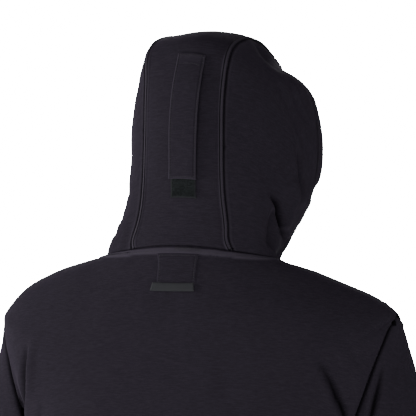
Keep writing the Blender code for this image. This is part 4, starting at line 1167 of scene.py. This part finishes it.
def seam_allowance(name, reach, depth, nodes, neighbours):
    """A narrow strip inside the cloth, along where these panels meet their neighbours."""
    strip = bmesh.new()
    for node in nodes:
        panel = panels[node]
        for _, line in panel.along(*neighbours):
            chain = Chain(panel.sewn[line])
            places = []
            steps = max(3, round(chain.length / ALLOWANCE_STEP))
            for travelled in np.linspace(0.0, chain.length, steps):
                place, along, normal = stitch_base(panel, chain, travelled)
                normal = unit(normal - along * (normal @ along))
                places.append((place - normal * depth, np.cross(normal, along) * reach))
            verts = [strip.verts.new(place - aside) for place, aside in places]
            edges = [strip.edges.new(pair) for pair in zip(verts, verts[1:])]
            made = bmesh.ops.extrude_edge_only(strip, edges=edges)["geom"]
            beyond = [element for element in made if isinstance(element, bmesh.types.BMVert)]
            for vertex in beyond:
                gaps = [(start.co - vertex.co).length for start in verts]
                place, aside = places[gaps.index(min(gaps))]
                vertex.co = place + aside
    mesh = bpy.data.meshes.new(name)
    strip.to_mesh(mesh)
    strip.free()
    mesh.materials.append(overlock)
    mesh.polygons.foreach_set("use_smooth", [True] * len(mesh.polygons))
    piece = placed(name, mesh)
    wall = piece.modifiers.new("thickness", "SOLIDIFY")
    wall.thickness = ALLOWANCE_THICKNESS
    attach(piece, "garment")


for allowance in ALLOWANCES:
    seam_allowance(*allowance)

# The rows of stitches on the panels, each at its inset from a seam or an open edge. A ladder of wide
# stitches crosses the neck band over part of its length, and bartacks hold the label's corners.
LADDER_FROM = -0.031
LADDER_TO = 0.001
LADDER_PITCH = 0.0022
LADDER_INSET = 0.0040
LADDER_STITCH = (0.0032, 0.0003, 0.0003)
BARTACK_INSET = 0.0020
BARTACK_PITCH = 0.0008
BARTACK_STITCH = (0.0009, 0.0003, 0.0003)
LABEL_SIDE = 0.02

hood_rows = stitch_rows(["hood_centre"], SEAM_STITCH_INSET, HOOD_SIDES)
hood_rows += stitch_rows(["hood_centre"], BAND_STITCH_INSET, HOOD_SIDES)
stitched("hood_seam_stitches", hood_rows)
stitched("face_hem_stitches", stitch_rows(HOOD_PANELS, FACE_HEM, ["open"]))
neck_rows = stitch_rows(["back"], NECK_STITCH_INSET, HOOD_PANELS)
neck_rows += stitch_rows(FRONTS, FRONT_NECK_INSET, HOOD_SIDES)
stitched("neck_band_stitches", neck_rows)


def on_ladder(place):
    return LADDER_FROM < seen_from(place[None], CAMERA_AZIMUTH)[0, 0] < LADDER_TO


ladder = stitch_rows(
    ["back"], LADDER_INSET, ["hood_centre"], pitch=LADDER_PITCH, across=True, keep=on_ladder
)
stitched("neck_ladder_stitches", ladder, LADDER_STITCH)
stitched("front_edge_stitches", stitch_rows(FRONTS, FRONT_STITCH_INSET, ["open"]))
rib_rows = stitch_rows(["back", *FRONTS], RIB_STITCH_INSET, ["hem_band"])
rib_rows += stitch_rows(SLEEVES, RIB_STITCH_INSET, CUFFS)
stitched("rib_seam_stitches", rib_rows)
strap_rows = stitch_rows(["hood_strap"], STRAP_STITCH_INSET, ["open"], trim=STRAP_STITCH_INSET)
top_edge = max(strap.edges, key=lambda edge: strap.sewn[edge[1], 2].mean())
strap_rows += stitch_frames(strap, top_edge[1], STRAP_BOX, trim=STRAP_STITCH_INSET)
stitched("strap_stitches", strap_rows)
tab_rows = stitch_rows(["neck_tab"], STRAP_STITCH_INSET, ["open"], trim=STRAP_STITCH_INSET)
stitched("tab_stitches", tab_rows)
bartacks = []
for _, line in label.edges:
    length = Chain(label.sewn[line]).length
    if length < LABEL_SIDE:
        for end in (0.0022, length - 0.0046):
            bartacks += stitch_frames(label, line, BARTACK_INSET, BARTACK_PITCH, end)[:3]
stitched("label_bartacks", bartacks, BARTACK_STITCH)

# The patch's pile: short curled loops of nylon, standing in the part that the strap leaves bare.
LOOPS = 900
LOOP_RADIUS = 0.00042
LOOP_THREAD = 0.00007
LOOP_ARC = math.radians(220.0)
LOOP_SEED = 7
STRAP_COVERS = 0.0012

loop = bmesh.new()
bmesh.ops.create_circle(loop, segments=3, radius=LOOP_THREAD)
bmesh.ops.translate(loop, verts=loop.verts, vec=(LOOP_RADIUS, 0.0, 0.0))
bmesh.ops.spin(
    loop, geom=loop.verts[:] + loop.edges[:], axis=(0, 1, 0), cent=(0, 0, 0), angle=-LOOP_ARC,
    steps=5,
)
bmesh.ops.recalc_face_normals(loop, faces=loop.faces[:])
dice = np.random.default_rng(LOOP_SEED)
loop_frames = []
while len(loop_frames) < LOOPS:
    face = patch.faces[dice.integers(len(patch.faces))]
    weights = dice.dirichlet(np.ones(len(face)))
    corners = list(face)
    place = weights @ patch.sewn[corners]
    turn = dice.uniform(0.0, 2 * math.pi)
    size = dice.uniform(0.7, 1.25)
    on_selvedge = weights @ patch.from_edge[corners] < SELVEDGE
    if on_selvedge or strap.tree.find_nearest(place)[3] < STRAP_COVERS:
        continue
    facing = unit(weights @ patch.normals[corners])
    sideways = unit(np.cross(facing, (0.0, 0.0, 1.0)))
    upward = np.cross(facing, sideways)
    first = (sideways * math.cos(turn) + upward * math.sin(turn)) * size
    second = (upward * math.cos(turn) - sideways * math.sin(turn)) * size
    loop_frames.append(frame_at(place, first, second, facing * size))
repeated("patch_loops", loop, loop_frames, hook_and_loop)

# The zip: dark satin metal. Its teeth stand for the chain's solid strip, two rows that mesh, and
# its slider and pull are the solids with their edges rounded.
METAL_DARK = (0.055, 0.055, 0.060, 1.0)
METAL_LIGHT = (0.105, 0.105, 0.112, 1.0)
TOOTH_PITCH = 0.00125
TOOTH_SIZE = (0.0034, 0.0011, 0.0023)
TOOTH_OFFSET = 0.0007
METAL_EDGE = 0.00025
SAME_CORNER = 1e-6


def metal_paint():
    paint = Paint("gunmetal", Metallic=1.0)
    brushed = paint.noise(paint.place(), 900.0, 3.0, 0.6)
    cloudy = paint.noise(paint.place(), 140.0, 2.0)
    paint.set("Base Color", paint.mix(cloudy, METAL_DARK, METAL_LIGHT))
    paint.set("Roughness", brushed * 0.22 + 0.26)
    paint.raised(brushed, 0.00005)
    return paint.material


gunmetal = metal_paint()


def merged_copy(node):
    """A node's mesh, with its points joined."""
    copy = bmesh.new()
    copy.from_mesh(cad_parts[node].data)
    bmesh.ops.remove_doubles(copy, verts=copy.verts, dist=SAME_CORNER)
    return copy


strip = merged_copy("zip_chain")
ordered = sorted((tuple(vertex.co) for vertex in strip.verts), key=lambda place: place[2])
strip.free()
rows = np.array(ordered[: len(ordered) // 4 * 4]).reshape(-1, 4, 3)
zip_line = Chain(rows.mean(axis=1))
tooth = bmesh.new()
bmesh.ops.create_cube(tooth, size=1.0)
bmesh.ops.scale(tooth, vec=TOOTH_SIZE, verts=tooth.verts)
bmesh.ops.bevel(
    tooth, geom=tooth.edges[:], offset=METAL_EDGE, offset_type="OFFSET", affect="EDGES",
    segments=1, profile=0.5, material=-1,
)
tooth_frames = []
for step, travelled in enumerate(np.arange(TOOTH_PITCH, zip_line.length - TOOTH_PITCH, TOOTH_PITCH)):
    up = unit(zip_line.at(travelled + 0.0006) - zip_line.at(travelled - 0.0006))
    sideways = np.array((1.0, 0.0, 0.0))
    out = np.cross(up, sideways)
    shift = TOOTH_OFFSET if step % 2 else -TOOTH_OFFSET
    tooth_frames.append(frame_at(zip_line.at(travelled) + sideways * shift, sideways, up, out))
teeth = repeated("zip_teeth", tooth, tooth_frames, gunmetal)
teeth.data.polygons.foreach_set("use_smooth", [False] * len(teeth.data.polygons))
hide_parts("zip_chain")

for node, body in (("zip_slider", "garment"), ("zip_pull", "pull_tab")):
    copy = merged_copy(node)
    bmesh.ops.dissolve_limit(
        copy, angle_limit=math.radians(1.0), verts=copy.verts[:], edges=copy.edges[:], delimit=set()
    )
    mesh = bpy.data.meshes.new(f"{node}_metal")
    copy.to_mesh(mesh)
    copy.free()
    mesh.materials.append(gunmetal)
    piece = placed(mesh.name, mesh)
    edge = piece.modifiers.new("rounded_edges", "BEVEL")
    edge.width = METAL_EDGE
    edge.segments = 2
    edge.limit_method = "ANGLE"
    edge.angle_limit = math.radians(40.0)
    edge.harden_normals = False
    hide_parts(node)
    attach(piece, body)
